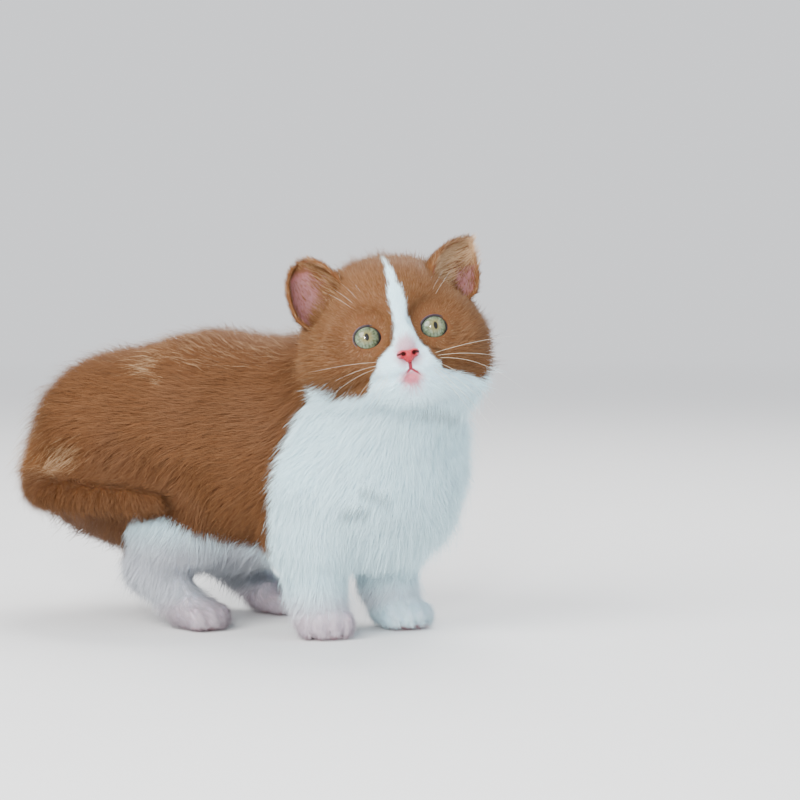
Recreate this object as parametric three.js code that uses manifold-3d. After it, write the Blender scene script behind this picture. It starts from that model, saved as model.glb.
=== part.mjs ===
// A plush-coated munchkin kitten, standing still, at life size.
// Millimetres. +X is forward, +Y the kitten's own left, +Z up, and the floor is z = 0.
// The solids follow the outside of the coat. The body is one smooth distance field, built on the
// joints of the skeleton, which is turned into a mesh once and then parted with thin cuts.

import * as THREE from "three";
import { mergeVertices } from "three/addons/utils/BufferGeometryUtils.js";
import Module from "manifold-3d";

const wasm = await Module();
wasm.setup();

// Driving dimensions.
const GAP = 0.3; // air between two neighbouring pieces
const TRUNK_CELL = [9.6, 7.6, 7.6]; // grid steps of the mesh along x, y and z, on the trunk
const LEG_CELL = [5.8, 5.8, 5.8]; // on the legs
const PAW_CELL = [3.8, 3.8, 3.8]; // on the paws
const TAIL_CELL = [6, 4.8, 4.8]; // on the tail
const HEAD_CELL = [4, 4, 4]; // on the head, in its own axes
const NOSE_CELL = [1.05, 1.05, 1.05]; // on the nose leather
const RIGHT = -1; // sign of Y on each side
const LEFT = 1;
const SIDES = [
  { name: "right", sign: RIGHT },
  { name: "left", sign: LEFT },
];

// Small helpers.
const at = (x, y, z) => new THREE.Vector3(x, y, z);
const turned = (x, y, z) => {
  const angles = [x, y, z].map(THREE.MathUtils.degToRad);
  return new THREE.Matrix4().makeRotationFromEuler(new THREE.Euler(...angles, "ZYX"));
};
const placed = (matrix, point) => matrix.clone().setPosition(point);

// Distance fields: a field is a function of x, y, z that is negative inside the body.

// An ellipsoid with its own turn.
function ball(centre, radii, turn = new THREE.Matrix4()) {
  const m = turn.clone().setPosition(centre).invert().elements;
  return (x, y, z) => {
    const a = (m[0] * x + m[4] * y + m[8] * z + m[12]) / radii.x;
    const b = (m[1] * x + m[5] * y + m[9] * z + m[13]) / radii.y;
    const c = (m[2] * x + m[6] * y + m[10] * z + m[14]) / radii.z;
    const near = Math.hypot(a, b, c);
    const slope = Math.hypot(a / radii.x, b / radii.y, c / radii.z);
    return slope < 1e-9 ? -Math.min(radii.x, radii.y, radii.z) : (near * (near - 1)) / slope;
  };
}

// A bone with flesh round it: a rod that tapers from one joint to the next.
function rod(from, to, fromRadius, toRadius) {
  const way = to.clone().sub(from);
  const long = way.lengthSq();
  return (x, y, z) => {
    const [dx, dy, dz] = [x - from.x, y - from.y, z - from.z];
    const t = THREE.MathUtils.clamp((dx * way.x + dy * way.y + dz * way.z) / long, 0, 1);
    const gone = Math.hypot(dx - t * way.x, dy - t * way.y, dz - t * way.z);
    return gone - THREE.MathUtils.lerp(fromRadius, toRadius, t);
  };
}

// Fields joined with a fillet of about the given radius.
function blend(fillet, ...fields) {
  return (x, y, z) => {
    let least = fields[0](x, y, z);
    for (let i = 1; i < fields.length; i++) {
      const other = fields[i](x, y, z);
      const near = Math.max(fillet - Math.abs(least - other), 0) / fillet;
      least = Math.min(least, other) - (near * near * fillet) / 4;
    }
    return least;
  };
}

// A field with a hollow sunk into it, its edge rounded.
function sink(rounding, body, hollow) {
  const joined = blend(rounding, (x, y, z) => -body(x, y, z), hollow);
  return (x, y, z) => -joined(x, y, z);
}

const grown = (field, by) => (x, y, z) => field(x, y, z) - by;

// A field given in the axes of a matrix, read in the kitten's axes, and the other way round.
function carried(field, matrix) {
  const m = matrix.clone().invert().elements;
  return (x, y, z) =>
    field(
      m[0] * x + m[4] * y + m[8] * z + m[12],
      m[1] * x + m[5] * y + m[9] * z + m[13],
      m[2] * x + m[6] * y + m[10] * z + m[14],
    );
}

// How the field changes at a point, and the point of the surface nearest to it.
function slopeOf(field, p) {
  const step = 0.05;
  return at(
    field(p.x + step, p.y, p.z) - field(p.x - step, p.y, p.z),
    field(p.x, p.y + step, p.z) - field(p.x, p.y - step, p.z),
    field(p.x, p.y, p.z + step) - field(p.x, p.y, p.z - step),
  ).divideScalar(2 * step);
}

function onSurface(field, point, rounds = 4) {
  const p = point.clone();
  for (let i = 0; i < rounds; i++) {
    const slope = slopeOf(field, p);
    p.addScaledVector(slope, -field(p.x, p.y, p.z) / Math.max(slope.lengthSq(), 0.04));
  }
  return p;
}

// The corners, edges and faces of a grid cell.
const CORNERS = [0, 1, 2, 3, 4, 5, 6, 7].map((c) => [c & 1, (c >> 1) & 1, c >> 2]);
const EDGES = ["01", "23", "45", "67", "02", "13", "46", "57", "04", "15", "26", "37"];
const FACES = ["0264", "1375", "0154", "2376", "0132", "4576"];
const edgeOf = (a, b) => Math.max(EDGES.indexOf(a + b), EDGES.indexOf(b + a));

// Which sheet of the surface crosses each edge of a cell, from which of its corners are inside.
function sheetsOf(inside) {
  const sheet = EDGES.map((_, edge) => edge);
  for (const face of FACES)
    for (let first = 0; first < 4; first++) {
      if (!inside[face[first]] || inside[face[(first + 3) % 4]]) continue;
      let last = first;
      while (inside[face[(last + 1) % 4]]) last++;
      const one = sheet[edgeOf(face[(first + 3) % 4], face[first])];
      const other = sheet[edgeOf(face[last % 4], face[(last + 1) % 4])];
      sheet.forEach((label, edge) => (sheet[edge] = label === other ? one : label));
    }
  return sheet;
}

// Fills one corner of each grid square where inside and outside lie crosswise, so that the surface
// never meets itself along an edge.
function uncross(values, nx, ny, nz) {
  const [dx, dy, dz] = [1, nx, nx * ny];
  for (let found = true; found; ) {
    found = false;
    for (let o = 0; o < nx * ny * nz - dx - dy - dz; o++)
      for (const [a, b] of [[dx, dy], [dx, dz], [dy, dz]]) {
        const [here, far] = [values[o] < 0, values[o + a + b] < 0];
        const [one, other] = [values[o + a] < 0, values[o + b] < 0];
        if (here !== far || one !== other || here === one) continue;
        values[here ? o + a : o] = -1e-3;
        found = true;
      }
  }
}

// The surface of a field inside a box, as a solid: in each grid cell one vertex for each sheet of
// the surface, drawn onto the surface, and one face round each grid edge that the surface cuts.
function solidOfField(endless, low, high, cell) {
  const steps = at(...cell);
  const margin = 1.05 * Math.max(...cell);
  const field = (x, y, z) =>
    Math.max(
      endless(x, y, z),
      Math.max(low.x - x, low.y - y, low.z - z, x - high.x, y - high.y, z - high.z) + margin,
    );
  const counts = high.clone().sub(low).divide(steps).ceil().addScalar(1).toArray();
  const [nx, ny, nz] = counts;
  const index = (i, j, k) => (k * ny + j) * nx + i;
  const corner = (i, j, k) => at(i, j, k).multiply(steps).add(low);
  const values = new Float32Array(nx * ny * nz);
  for (let k = 0; k < nz; k++)
    for (let j = 0; j < ny; j++)
      for (let i = 0; i < nx; i++) values[index(i, j, k)] = field(...corner(i, j, k));
  uncross(values, nx, ny, nz);
  const points = [];
  const vertexAt = new Map();
  for (let k = 0; k < nz - 1; k++)
    for (let j = 0; j < ny - 1; j++)
      for (let i = 0; i < nx - 1; i++) {
        const value = CORNERS.map(([x, y, z]) => values[index(i + x, j + y, k + z)]);
        const inside = value.map((v) => v < 0);
        if (inside.every((v) => v === inside[0])) continue;
        const sheet = sheetsOf(inside);
        const crossings = new Map();
        EDGES.forEach(([a, b], edge) => {
          if (inside[a] === inside[b]) return;
          const place = at(...CORNERS[a]).lerp(at(...CORNERS[b]), value[a] / (value[a] - value[b]));
          const found = crossings.get(sheet[edge]) ?? { sum: at(0, 0, 0), edges: [] };
          found.sum.add(place);
          found.edges.push(edge);
          crossings.set(sheet[edge], found);
        });
        for (const { sum, edges } of crossings.values()) {
          const mean = sum.divideScalar(edges.length).add(at(i, j, k)).multiply(steps).add(low);
          const drawn = onSurface(field, mean);
          const share = Math.min(1, margin / 2 / drawn.distanceTo(mean));
          points.push(mean.lerp(drawn, share));
          for (const edge of edges) vertexAt.set(index(i, j, k) * 12 + edge, points.length - 1);
        }
      }
  const faces = [];
  const addFace = (cells, edges, turn) => {
    const ring = cells.map((c, n) => vertexAt.get(c * 12 + edges[n]));
    if (turn) ring.reverse();
    const [a, b, c, d] = ring;
    if (points[a].distanceTo(points[c]) <= points[b].distanceTo(points[d]))
      faces.push(a, b, c, a, c, d);
    else faces.push(b, c, d, b, d, a);
  };
  for (let k = 1; k < nz - 1; k++)
    for (let j = 1; j < ny - 1; j++)
      for (let i = 1; i < nx - 1; i++) {
        const o = index(i, j, k);
        const inside = values[o] < 0;
        const [dx, dy, dz] = [1, nx, nx * ny];
        if (inside !== values[o + dx] < 0)
          addFace([o - dy - dz, o - dz, o, o - dy], [3, 2, 0, 1], !inside);
        if (inside !== values[o + dy] < 0)
          addFace([o - dx - dz, o - dz, o, o - dx], [7, 6, 4, 5], inside);
        if (inside !== values[o + dz] < 0)
          addFace([o - dx - dy, o - dy, o, o - dx], [11, 10, 8, 9], !inside);
      }
  return solidOf(new THREE.BufferGeometry().setFromPoints(points).setIndex(faces));
}

// A closed geometry as a solid that can be joined and cut, and back again.
function solidOf(geometry, place = new THREE.Matrix4()) {
  const bare = geometry.clone().applyMatrix4(place);
  for (const name of Object.keys(bare.attributes)) if (name !== "position") bare.deleteAttribute(name);
  const { index, attributes } = mergeVertices(bare, 1e-4);
  const faces = [];
  for (let i = 0; i < index.count; i += 3) {
    const [a, b, c] = [index.getX(i), index.getX(i + 1), index.getX(i + 2)];
    if (a !== b && b !== c && c !== a) faces.push(a, b, c);
  }
  const mesh = new wasm.Mesh({
    numProp: 3,
    vertProperties: new Float32Array(attributes.position.array),
    triVerts: new Uint32Array(faces),
  });
  return new wasm.Manifold(mesh);
}

function geometryOf(solid) {
  const mesh = solid.getMesh();
  const places = new THREE.BufferAttribute(mesh.vertProperties, 3);
  const geometry = new THREE.BufferGeometry().setAttribute("position", places);
  geometry.setIndex(new THREE.BufferAttribute(mesh.triVerts, 1));
  geometry.computeVertexNormals();
  return geometry;
}

const largest = (solid) => solid.decompose().sort((a, b) => b.volume() - a.volume())[0];

// All the space on the far side of a cut, which is a point and a normal in the axes of a place,
// from a plane shifted along the normal. The gap lies half on each side of the cut.
function side(cut, shift, place) {
  const normal = cut.normal.clone().normalize();
  const box = new THREE.BoxGeometry(400, 400, 400).translate(0, 0, 200);
  box.applyQuaternion(new THREE.Quaternion().setFromUnitVectors(at(0, 0, 1), normal));
  box.translate(...cut.point.clone().addScaledVector(normal, shift));
  return solidOf(box, place);
}
const past = (cut, place) => side(cut, GAP / 2, place);
const pastAndGap = (cut, place) => side(cut, -GAP / 2, place);

// The space between two corners, made larger all round.
function boxOf([low, high], by) {
  const size = high.clone().sub(low).addScalar(2 * by);
  const box = new THREE.BoxGeometry(...size);
  return solidOf(box.translate(...low.clone().add(high).divideScalar(2)));
}

// The trunk: hips, loin, ribs and breast.
const HIPS = at(-60, 4, 74);
const LOIN = at(-12, 4, 74);
const RIBS = at(34, 5, 77);
const BREAST = at(68, 8, 72);
const THROAT = at(80, 5, 94);
const NAPE = at(66, 4, 100);

const trunk = blend(
  16,
  ball(HIPS, at(48, 44, 45)),
  ball(LOIN, at(60, 45, 55)),
  ball(RIBS, at(44, 44, 50)),
  ball(BREAST, at(42, 44, 46)),
);

// The head, in its own axes: x towards the nose, y to its left, z to the crown.
const HEAD_CENTRE = at(88, -7, 129);
const HEAD_TURN = { roll: 9.5, pitch: -12, yaw: -48 };
const headTurn = turned(HEAD_TURN.roll, HEAD_TURN.pitch, HEAD_TURN.yaw);
const headPlace = placed(headTurn, HEAD_CENTRE);
const inHead = (x, y, z) => at(x, y, z).applyMatrix4(headPlace);
const bothSides = (make) => SIDES.map(({ sign }) => make(sign));

const EYE_RADIUS = 8.4;
const EYE = at(15.5, 13.4, -4); // the left eyeball's centre
const EYE_OUTWARD = 7; // degrees that each eye looks away from the middle
const EYE_WINDOW = at(0, 6, 4.9); // half width and half height between the lids
const LID = 1.1; // radius of the rim of the lids
const MUZZLE = at(25.5, 5.6, -19);
const CHIN = at(25.5, 0, -26);
const NOSE = at(34.4, -0.3, -15.4);
const MOUTH = [at(33, 0, -18), at(33, 0, -22), at(32.5, 2.6, -23.4), at(31.5, 5.4, -23.9)];
const LIP = 1.3; // radius of the rounded edge of the lips
const MOUTH_LINE = 0.5; // half width of the line between them

const eyePlace = (sign) => placed(turned(0, 0, sign * EYE_OUTWARD), at(EYE.x, sign * EYE.y, EYE.z));

// Each ear is a thin cup, bent round a hollow. Its axes: x the way it opens, z towards its tip.
const EARS = {
  right: { place: at(3, -27, 17.2), turn: turned(17, 2, -12), lean: 0 },
  left: { place: at(3, 27, 19.2), turn: turned(-30, 2, 28), lean: 4.5 },
};
const EAR_ROOT = -16; // how far its foot is sunk into the head
const EAR_WIDEST = -4; // the height where it is widest
const EAR_HEIGHT = 20; // from its place to its tip
const EAR_HALF_WIDTH = 12.2;
const EAR_TIP = 0.9; // half width at the tip
const EAR_DEPTH = 0.95; // from the rim to the back of the cup, as a share of the half width
const EAR_WALL = 1.9;
const earPlace = (name) => placed(EARS[name].turn, EARS[name].place);
const earHollow = ball(at(5.5, 0, 1), at(6.5, 9.5, 11));

const skull = blend(
  9,
  ball(at(-4, 0, 4), at(33, 36, 28)),
  ...bothSides((s) => ball(at(3, s * 20, -9), at(23, 20.5, 18.5))),
  ball(at(17.5, 0, -8), at(13.5, 10.5, 13)),
);
const withOrbits = bothSides((s) =>
  carried(ball(at(12.4, s * 0.5, 0.3), at(6, 11.5, 10)), eyePlace(s)),
).reduce((whole, orbit) => sink(4, whole, orbit), skull);
const muzzle = blend(
  3,
  ...bothSides((s) => ball(at(MUZZLE.x, s * MUZZLE.y, MUZZLE.z), at(9, 8.4, 6.4))),
  ball(at(25, 0, -11.5), at(9, 5.5, 7)),
  ball(CHIN, at(7, 7, 5.4)),
);
const head = SIDES.reduce(
  (whole, { name }) => sink(3, whole, carried(earHollow, earPlace(name))),
  blend(7, withOrbits, muzzle),
);

// The nose leather: two wings round the nostrils and a wedge below them.
const nosePlace = placed(turned(0, -8, 0), NOSE);
const noseLeather = carried(
  bothSides((s) => ball(at(2.6, s * 2.5, -0.5), at(1.7, 1.1, 0.8), turned(s * 25, 0, 0))).reduce(
    (whole, nostril) => sink(0.6, whole, nostril),
    blend(
      2,
      ...bothSides((s) => ball(at(-0.6, s * 2.4, 0.3), at(3, 2.3, 1.9))),
      ball(at(-0.4, 0, -1), at(3, 1.8, 2.1)),
    ),
  ),
  nosePlace,
);

const neck = blend(
  12,
  rod(NAPE, inHead(-12, 0, -10), 32, 28),
  rod(THROAT, inHead(2, 4, -18), 30, 26),
  ball(inHead(-2, 22, -24), at(15, 15, 13), headTurn),
);

// Each leg: its joints, the middle of its paw on the floor, and the way that the paw points.
const FORELEGS = {
  right: {
    shoulder: at(57, -20, 60),
    elbow: at(56, -21, 42),
    wrist: at(58, -19, 20),
    paw: at(61, -18, 0),
    yaw: -44,
  },
  left: {
    shoulder: at(62, 28, 60),
    elbow: at(63, 27, 42),
    wrist: at(65, 24.5, 20),
    paw: at(71, 24, 0),
    yaw: -22,
  },
};
const HIND_LEGS = {
  right: {
    hip: at(-46, -20, 62),
    knee: at(-8, -27, 44),
    hock: at(-23, -29, 26),
    paw: at(2, -29, 0),
    yaw: -4,
  },
  left: {
    hip: at(-46, 28, 62),
    knee: at(-8, 32, 44),
    hock: at(-26, 32, 26),
    paw: at(-1, 31, 0),
    yaw: 4,
  },
};

const foreleg = ({ shoulder, elbow, wrist, paw: place }) =>
  blend(
    10,
    rod(shoulder, elbow, 20, 17),
    rod(elbow, wrist, 16, 12),
    rod(wrist, at(place.x, place.y, 10), 11.5, 10.5),
  );
const hindLeg = ({ hip, knee, hock, paw: place }) =>
  blend(
    10,
    rod(hip, knee, 26, 20),
    rod(knee, hock, 17, 12),
    rod(hock, at(place.x - 6, place.y, 10), 11, 10),
  );

// A paw over its place on the floor, with four toes in an arc.
function paw({ paw: place, yaw }, size) {
  const toes = [-1.5, -0.5, 0.5, 1.5].map((step) => {
    const centre = at(10.5 - Math.abs(step) * 2.6, step * 5.6, 5.6).multiplyScalar(size);
    return ball(centre, at(6.2, 4, 6.4).multiplyScalar(size));
  });
  const whole = blend(2.5, ball(at(-1, 0, 7), at(13 * size, 12 * size, 9.2)), ...toes);
  return carried(whole, placed(turned(0, 0, yaw), place));
}

const FORE_PAW_SIZE = 1.05;
const HIND_PAW_SIZE = 0.98;
const paws = [
  paw(FORELEGS.right, FORE_PAW_SIZE),
  paw(FORELEGS.left, FORE_PAW_SIZE),
  paw(HIND_LEGS.right, HIND_PAW_SIZE),
  paw(HIND_LEGS.left, HIND_PAW_SIZE),
];

const legs = blend(
  6,
  foreleg(FORELEGS.right),
  foreleg(FORELEGS.left),
  hindLeg(HIND_LEGS.right),
  hindLeg(HIND_LEGS.left),
);
const body = blend(4, blend(12, blend(14, trunk, neck), legs), ...paws);
const HEAD_FILLET = 9;
const kitten = blend(HEAD_FILLET, body, carried(head, headPlace));
const kittenInHead = carried(kitten, headPlace.clone().invert());

// The tail, forward along the right thigh from the rump to its tip, and its radius.
const TAIL_WAY = new THREE.CatmullRomCurve3([
  at(-78, 2, 78),
  at(-88, -10, 69),
  at(-86, -28, 60),
  at(-68, -46, 57),
  at(-36, -55, 57),
  at(1, -55, 57.5),
]);
const TAIL_RADII = [11, 10, 9.5, 9, 8.6, 8.4, 8.2, 8, 7.8, 7.4, 6];
const tailJoints = TAIL_WAY.getSpacedPoints(TAIL_RADII.length - 1);
const tail = blend(
  2,
  ...tailJoints.slice(1).map((joint, i) => rod(tailJoints[i], joint, TAIL_RADII[i], TAIL_RADII[i + 1])),
);

// Cutting planes: a point, and the normal towards the piece beyond it.
const HEAD_CUT = { point: at(-8.5, 0, -13), normal: at(0.6, 0.25, 0.76) }; // in the head's axes
const NECK_CUT = { point: at(60, 2, 98), normal: at(0.6, -0.08, 0.79) };
const PAW_CUTS = {
  foreleg: { point: at(0, 0, 17), normal: at(0, 0, -1) }, // in the paw's axes
  hind_leg: { point: at(-13, 0, 12), normal: at(0.75, 0, -0.66) },
};
const PAW_TOP = 21; // no part of a paw is higher
const TAIL_CUTS = [4, 7]; // the joints of the tail that it is parted at

// The share of each leg in the body: all that lies in a box below the breast or the belly.
const LEG_SHARES = {
  foreleg_right: [at(34, -62, -8), at(110, 3.5, 41)],
  foreleg_left: [at(34, 3.5, -8), at(110, 66, 41)],
  hind_leg_right: [at(-60, -66, -8), at(24, -13, 44)],
  hind_leg_left: [at(-60, 19, -8), at(24, 66, 44)],
};

const material = (color, roughness) =>
  new THREE.MeshStandardMaterial({ color, roughness, metalness: 0 });
const cinnamon = material("#a5713f", 0.9);
const white = material("#e6e6e4", 0.9);
const pink = material("#d9706c", 0.55);
const iris = material("#a3b08c", 0.1);

const root = new THREE.Group();
function add(name, solid, finish, place = new THREE.Matrix4()) {
  const mesh = new THREE.Mesh(geometryOf(largest(solid)), finish);
  mesh.name = name;
  mesh.applyMatrix4(place);
  root.add(mesh);
}

const solidBall = (radius, place) => solidOf(new THREE.IcosahedronGeometry(radius, 3), place);

// A chain of short round-ended rods through some points.
function chain(points, radius) {
  const links = points.slice(1).map((to, i) => {
    const way = to.clone().sub(points[i]);
    const link = new THREE.CapsuleGeometry(radius, way.length(), 2, 7);
    link.applyQuaternion(new THREE.Quaternion().setFromUnitVectors(at(0, 1, 0), way.clone().normalize()));
    return solidOf(link.translate(...points[i].clone().addScaledVector(way, 0.5)));
  });
  return links.reduce((whole, link) => whole.add(link));
}

// The head, its eyes and its nose, meshed in the head's axes.
const HEAD_LOW = at(-48, -50, -50);
const HEAD_HIGH = at(48, 50, 44);
let headSolid = solidOfField(kittenInHead, HEAD_LOW, HEAD_HIGH, HEAD_CELL).intersect(past(HEAD_CUT));

const lips = bothSides((s) =>
  MOUTH.map((p) => onSurface(head, at(p.x, p.y * s, p.z))),
);
for (const line of lips) headSolid = headSolid.add(chain(line, LIP));
for (const line of lips) {
  const front = line.map((p) => p.clone().addScaledVector(slopeOf(head, p).normalize(), LIP * 0.8));
  headSolid = headSolid.subtract(chain(front, MOUTH_LINE));
}

const lidRim = new THREE.TorusGeometry(1, LID / 5.9, 6, 24).rotateY(Math.PI / 2);
const rimDepth = Math.sqrt(EYE_RADIUS ** 2 - EYE_WINDOW.y * EYE_WINDOW.z);
for (const { name, sign } of SIDES) {
  const place = eyePlace(sign);
  const rim = lidRim.clone().scale(5.9, EYE_WINDOW.y + LID * 0.7, EYE_WINDOW.z + LID * 0.7);
  const view = new THREE.SphereGeometry(1, 16, 10).scale(9, EYE_WINDOW.y, EYE_WINDOW.z);
  headSolid = headSolid
    .add(solidOf(rim.translate(rimDepth, 0, 0), place))
    .subtract(solidOf(view.translate(rimDepth + 4, 0, 0), place))
    .subtract(solidBall(EYE_RADIUS + GAP * 1.3, place));
  add("eye_" + name, solidBall(EYE_RADIUS), iris, headPlace.clone().multiply(place));
}

const noseBox = [NOSE.clone().sub(at(8, 8, 6)), NOSE.clone().add(at(8, 8, 6))];
add("nose", solidOfField(noseLeather, ...noseBox, NOSE_CELL), pink, headPlace);
const noseRoom = solidOfField(grown(noseLeather, GAP), ...noseBox, NOSE_CELL);
add("head", headSolid.subtract(noseRoom), cinnamon, headPlace);

// An ear: its outer and its inner face as rows of points, with the rim and the ends between them.
// Its tip leans outwards.
function earSolid(lean, place) {
  const rows = 10;
  const columns = 12;
  const points = [];
  for (const inset of [0, EAR_WALL])
    for (let row = 0; row <= rows; row++)
      for (let column = 0; column <= columns; column++) {
        const up = row / rows;
        const z = THREE.MathUtils.lerp(EAR_ROOT, EAR_HEIGHT, up);
        const grown = Math.max(z - EAR_WIDEST, 0) / (EAR_HEIGHT - EAR_WIDEST);
        const sunk = Math.max(EAR_WIDEST - z, 0);
        const half = EAR_TIP + EAR_HALF_WIDTH * (1 - grown ** 2) ** 0.75 - 0.5 * sunk;
        const round = THREE.MathUtils.degToRad(THREE.MathUtils.lerp(-104, 104, column / columns));
        const wall = Math.min(inset, half * 0.6);
        const back = half * EAR_DEPTH * (1 - 0.35 * up) - wall;
        const across = (half - wall) * Math.sin(round) + lean * grown ** 2;
        points.push(at(half * 0.5 - back * Math.cos(round), across, z - wall * up ** 3));
      }
  const layer = (rows + 1) * (columns + 1);
  const point = (face, row, column) => face * layer + row * (columns + 1) + column;
  const faces = [];
  const quad = (a, b, c, d) => faces.push(a, b, c, a, c, d);
  for (let row = 0; row < rows; row++) {
    for (let column = 0; column < columns; column++) {
      const [a, b] = [point(0, row, column), point(0, row, column + 1)];
      const [c, d] = [point(0, row + 1, column + 1), point(0, row + 1, column)];
      quad(a, d, c, b);
      quad(a + layer, b + layer, c + layer, d + layer);
    }
    for (const [column, turn] of [[0, 1], [columns, 0]]) {
      const [a, b] = [point(0, row, column), point(0, row + 1, column)];
      if (turn) quad(a, a + layer, b + layer, b);
      else quad(a, b, b + layer, a + layer);
    }
  }
  for (let column = 0; column < columns; column++)
    for (const [row, turn] of [[0, 0], [rows, 1]]) {
      const [a, b] = [point(0, row, column), point(0, row, column + 1)];
      if (turn) quad(a, a + layer, b + layer, b);
      else quad(a, b, b + layer, a + layer);
    }
  return solidOf(new THREE.BufferGeometry().setFromPoints(points).setIndex(faces), place);
}

// The ears, cut off where they meet the head.
const headRoom = solidOfField(grown(kittenInHead, 1.5 * GAP), HEAD_LOW, HEAD_HIGH, HEAD_CELL);
for (const { name } of SIDES)
  add("ear_" + name, earSolid(EARS[name].lean, earPlace(name)).subtract(headRoom), pink, headPlace);

// The tail in three lengths, and the room for it in the rump.
const TAIL_BOX = [at(-120, -78, 30), at(24, 30, 110)];
const tailSolid = solidOfField(tail, ...TAIL_BOX, TAIL_CELL);
const tailCuts = TAIL_CUTS.map((joint) => ({
  point: tailJoints[joint],
  normal: tailJoints[joint + 1].clone().sub(tailJoints[joint - 1]),
}));
const tailRoom = solidOfField(grown(tail, 3 * GAP), ...TAIL_BOX, TAIL_CELL);
add("tail_base", tailSolid.subtract(pastAndGap(tailCuts[0])), cinnamon);
add("tail_middle", tailSolid.intersect(past(tailCuts[0])).subtract(pastAndGap(tailCuts[1])), cinnamon);
add("tail_tip", tailSolid.intersect(past(tailCuts[1])), cinnamon);

// The trunk and the neck, less the shares of the other pieces.
const BODY_BOX = [at(-125, -75, -12), at(135, 75, 175)];
let trunkSolid = solidOfField(kitten, ...BODY_BOX, TRUNK_CELL);
trunkSolid = trunkSolid.subtract(pastAndGap(HEAD_CUT, headPlace));
add("neck", trunkSolid.intersect(past(NECK_CUT)), cinnamon);
trunkSolid = trunkSolid.subtract(pastAndGap(NECK_CUT)).subtract(tailRoom);
for (const box of Object.values(LEG_SHARES)) trunkSolid = trunkSolid.subtract(boxOf(box, GAP / 2));
add("torso", trunkSolid, cinnamon);

// The legs and the paws.
const floor = side({ point: at(0, 0, 0), normal: at(0, 0, 1) }, 0);
for (const { name } of SIDES) {
  for (const [kind, joints] of [["foreleg", FORELEGS], ["hind_leg", HIND_LEGS]]) {
    const [low, high] = LEG_SHARES[kind + "_" + name];
    const share = boxOf([low, high], -GAP / 2);
    const pawBox = [low.clone().addScalar(-20), high.clone().addScalar(20).setZ(PAW_TOP)];
    const place = placed(turned(0, 0, joints[name].yaw), joints[name].paw);
    const cut = PAW_CUTS[kind];
    const around = [low.clone().addScalar(-9), high.clone().addScalar(9)];
    const leg = solidOfField(kitten, ...around, LEG_CELL).intersect(share);
    const pawRoom = pastAndGap(cut, place).intersect(boxOf(pawBox, GAP / 2));
    add(kind + "_" + name, leg.subtract(pawRoom), white);
    const pawShare = past(cut, place).intersect(boxOf(pawBox, -GAP / 2)).intersect(share);
    const solid = solidOfField(kitten, ...around, PAW_CELL).intersect(floor);
    add(kind.replace("leg", "paw") + "_" + name, solid.intersect(pawShare), white);
  }
}

// The middle of the floor under the kitten is the origin.
root.updateMatrixWorld(true);
const bounds = new THREE.Box3().setFromObject(root, true);
const middle = bounds.getCenter(at(0, 0, 0));
root.position.set(-middle.x, -middle.y, -bounds.min.z);

export default root;
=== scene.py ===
"""A plush-coated munchkin kitten at life size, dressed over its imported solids."""

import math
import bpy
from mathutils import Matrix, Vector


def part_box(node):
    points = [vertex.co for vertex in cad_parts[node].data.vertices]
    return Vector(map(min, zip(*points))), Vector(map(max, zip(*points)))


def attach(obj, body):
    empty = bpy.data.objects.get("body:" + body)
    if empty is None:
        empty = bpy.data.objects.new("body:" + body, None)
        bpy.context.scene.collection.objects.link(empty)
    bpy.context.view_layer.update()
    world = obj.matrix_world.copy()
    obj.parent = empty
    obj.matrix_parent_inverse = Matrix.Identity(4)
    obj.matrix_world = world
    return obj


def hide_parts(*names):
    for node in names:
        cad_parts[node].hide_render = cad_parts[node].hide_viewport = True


bl_info = {
    "name": "Plush Kitten",
    "version": (1, 0, 0),
    "blender": (4, 5, 0),
    "location": "View3D > Sidebar > Kitten",
    "description": "Makes a standing munchkin kitten: skin, eyes, nose, coat and whiskers",
    "category": "Add Mesh",
}

import bmesh
import bpy
import numpy as np
from mathutils import Matrix, Vector

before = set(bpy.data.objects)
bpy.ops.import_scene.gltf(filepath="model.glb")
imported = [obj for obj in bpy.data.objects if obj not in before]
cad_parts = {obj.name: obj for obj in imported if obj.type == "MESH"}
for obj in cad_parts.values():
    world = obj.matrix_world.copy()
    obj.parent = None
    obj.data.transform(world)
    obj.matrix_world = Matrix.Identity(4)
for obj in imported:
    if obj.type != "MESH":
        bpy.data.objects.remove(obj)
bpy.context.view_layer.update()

# Lengths are millimetres in the kitten's own axes, as in its solids: +X is forward, +Y its left,
# +Z up. They turn into the frame's metres when a mesh is made.
MM = 0.001
SIDES = {"right": -1, "left": 1}

# The head: its place and turn, and its features in its own axes (x to the nose, y left, z up).
HEAD_CENTRE = np.array((88, -7, 129))
HEAD_ROLL, HEAD_PITCH, HEAD_YAW = 9.5, -12, -48
EYE = (15.5, 13.4, -4)
EYE_RADIUS, EYE_OUTWARD = 8.4, 7
NOSE = np.array((34.4, -0.3, -15.4))
NOSE_PITCH, NOSE_CELL = -8, 0.22
MOUTH = [
    (33.3, 0.2, -18.8), (33.1, 0.2, -22), (32.6, 2.6, -23.3),
    (31.8, 4.7, -24.9), (30.6, 6.6, -26.6), (29, 8.6, -28.4),
]
LIP, MOUTH_LINE = 0.9, 0.3

# The opening between each eye's lids, as half its width and height and its shift left and up, and
# how thick the lids are over the eyeball.
EYE_WINDOWS = {"right": (5.5, 4.4), "left": (5.9, 4.25)}
EYE_SHIFTS = {"right": (0.8, -0.4), "left": (0.4, -0.6)}
EYELID = 0.45

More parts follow.
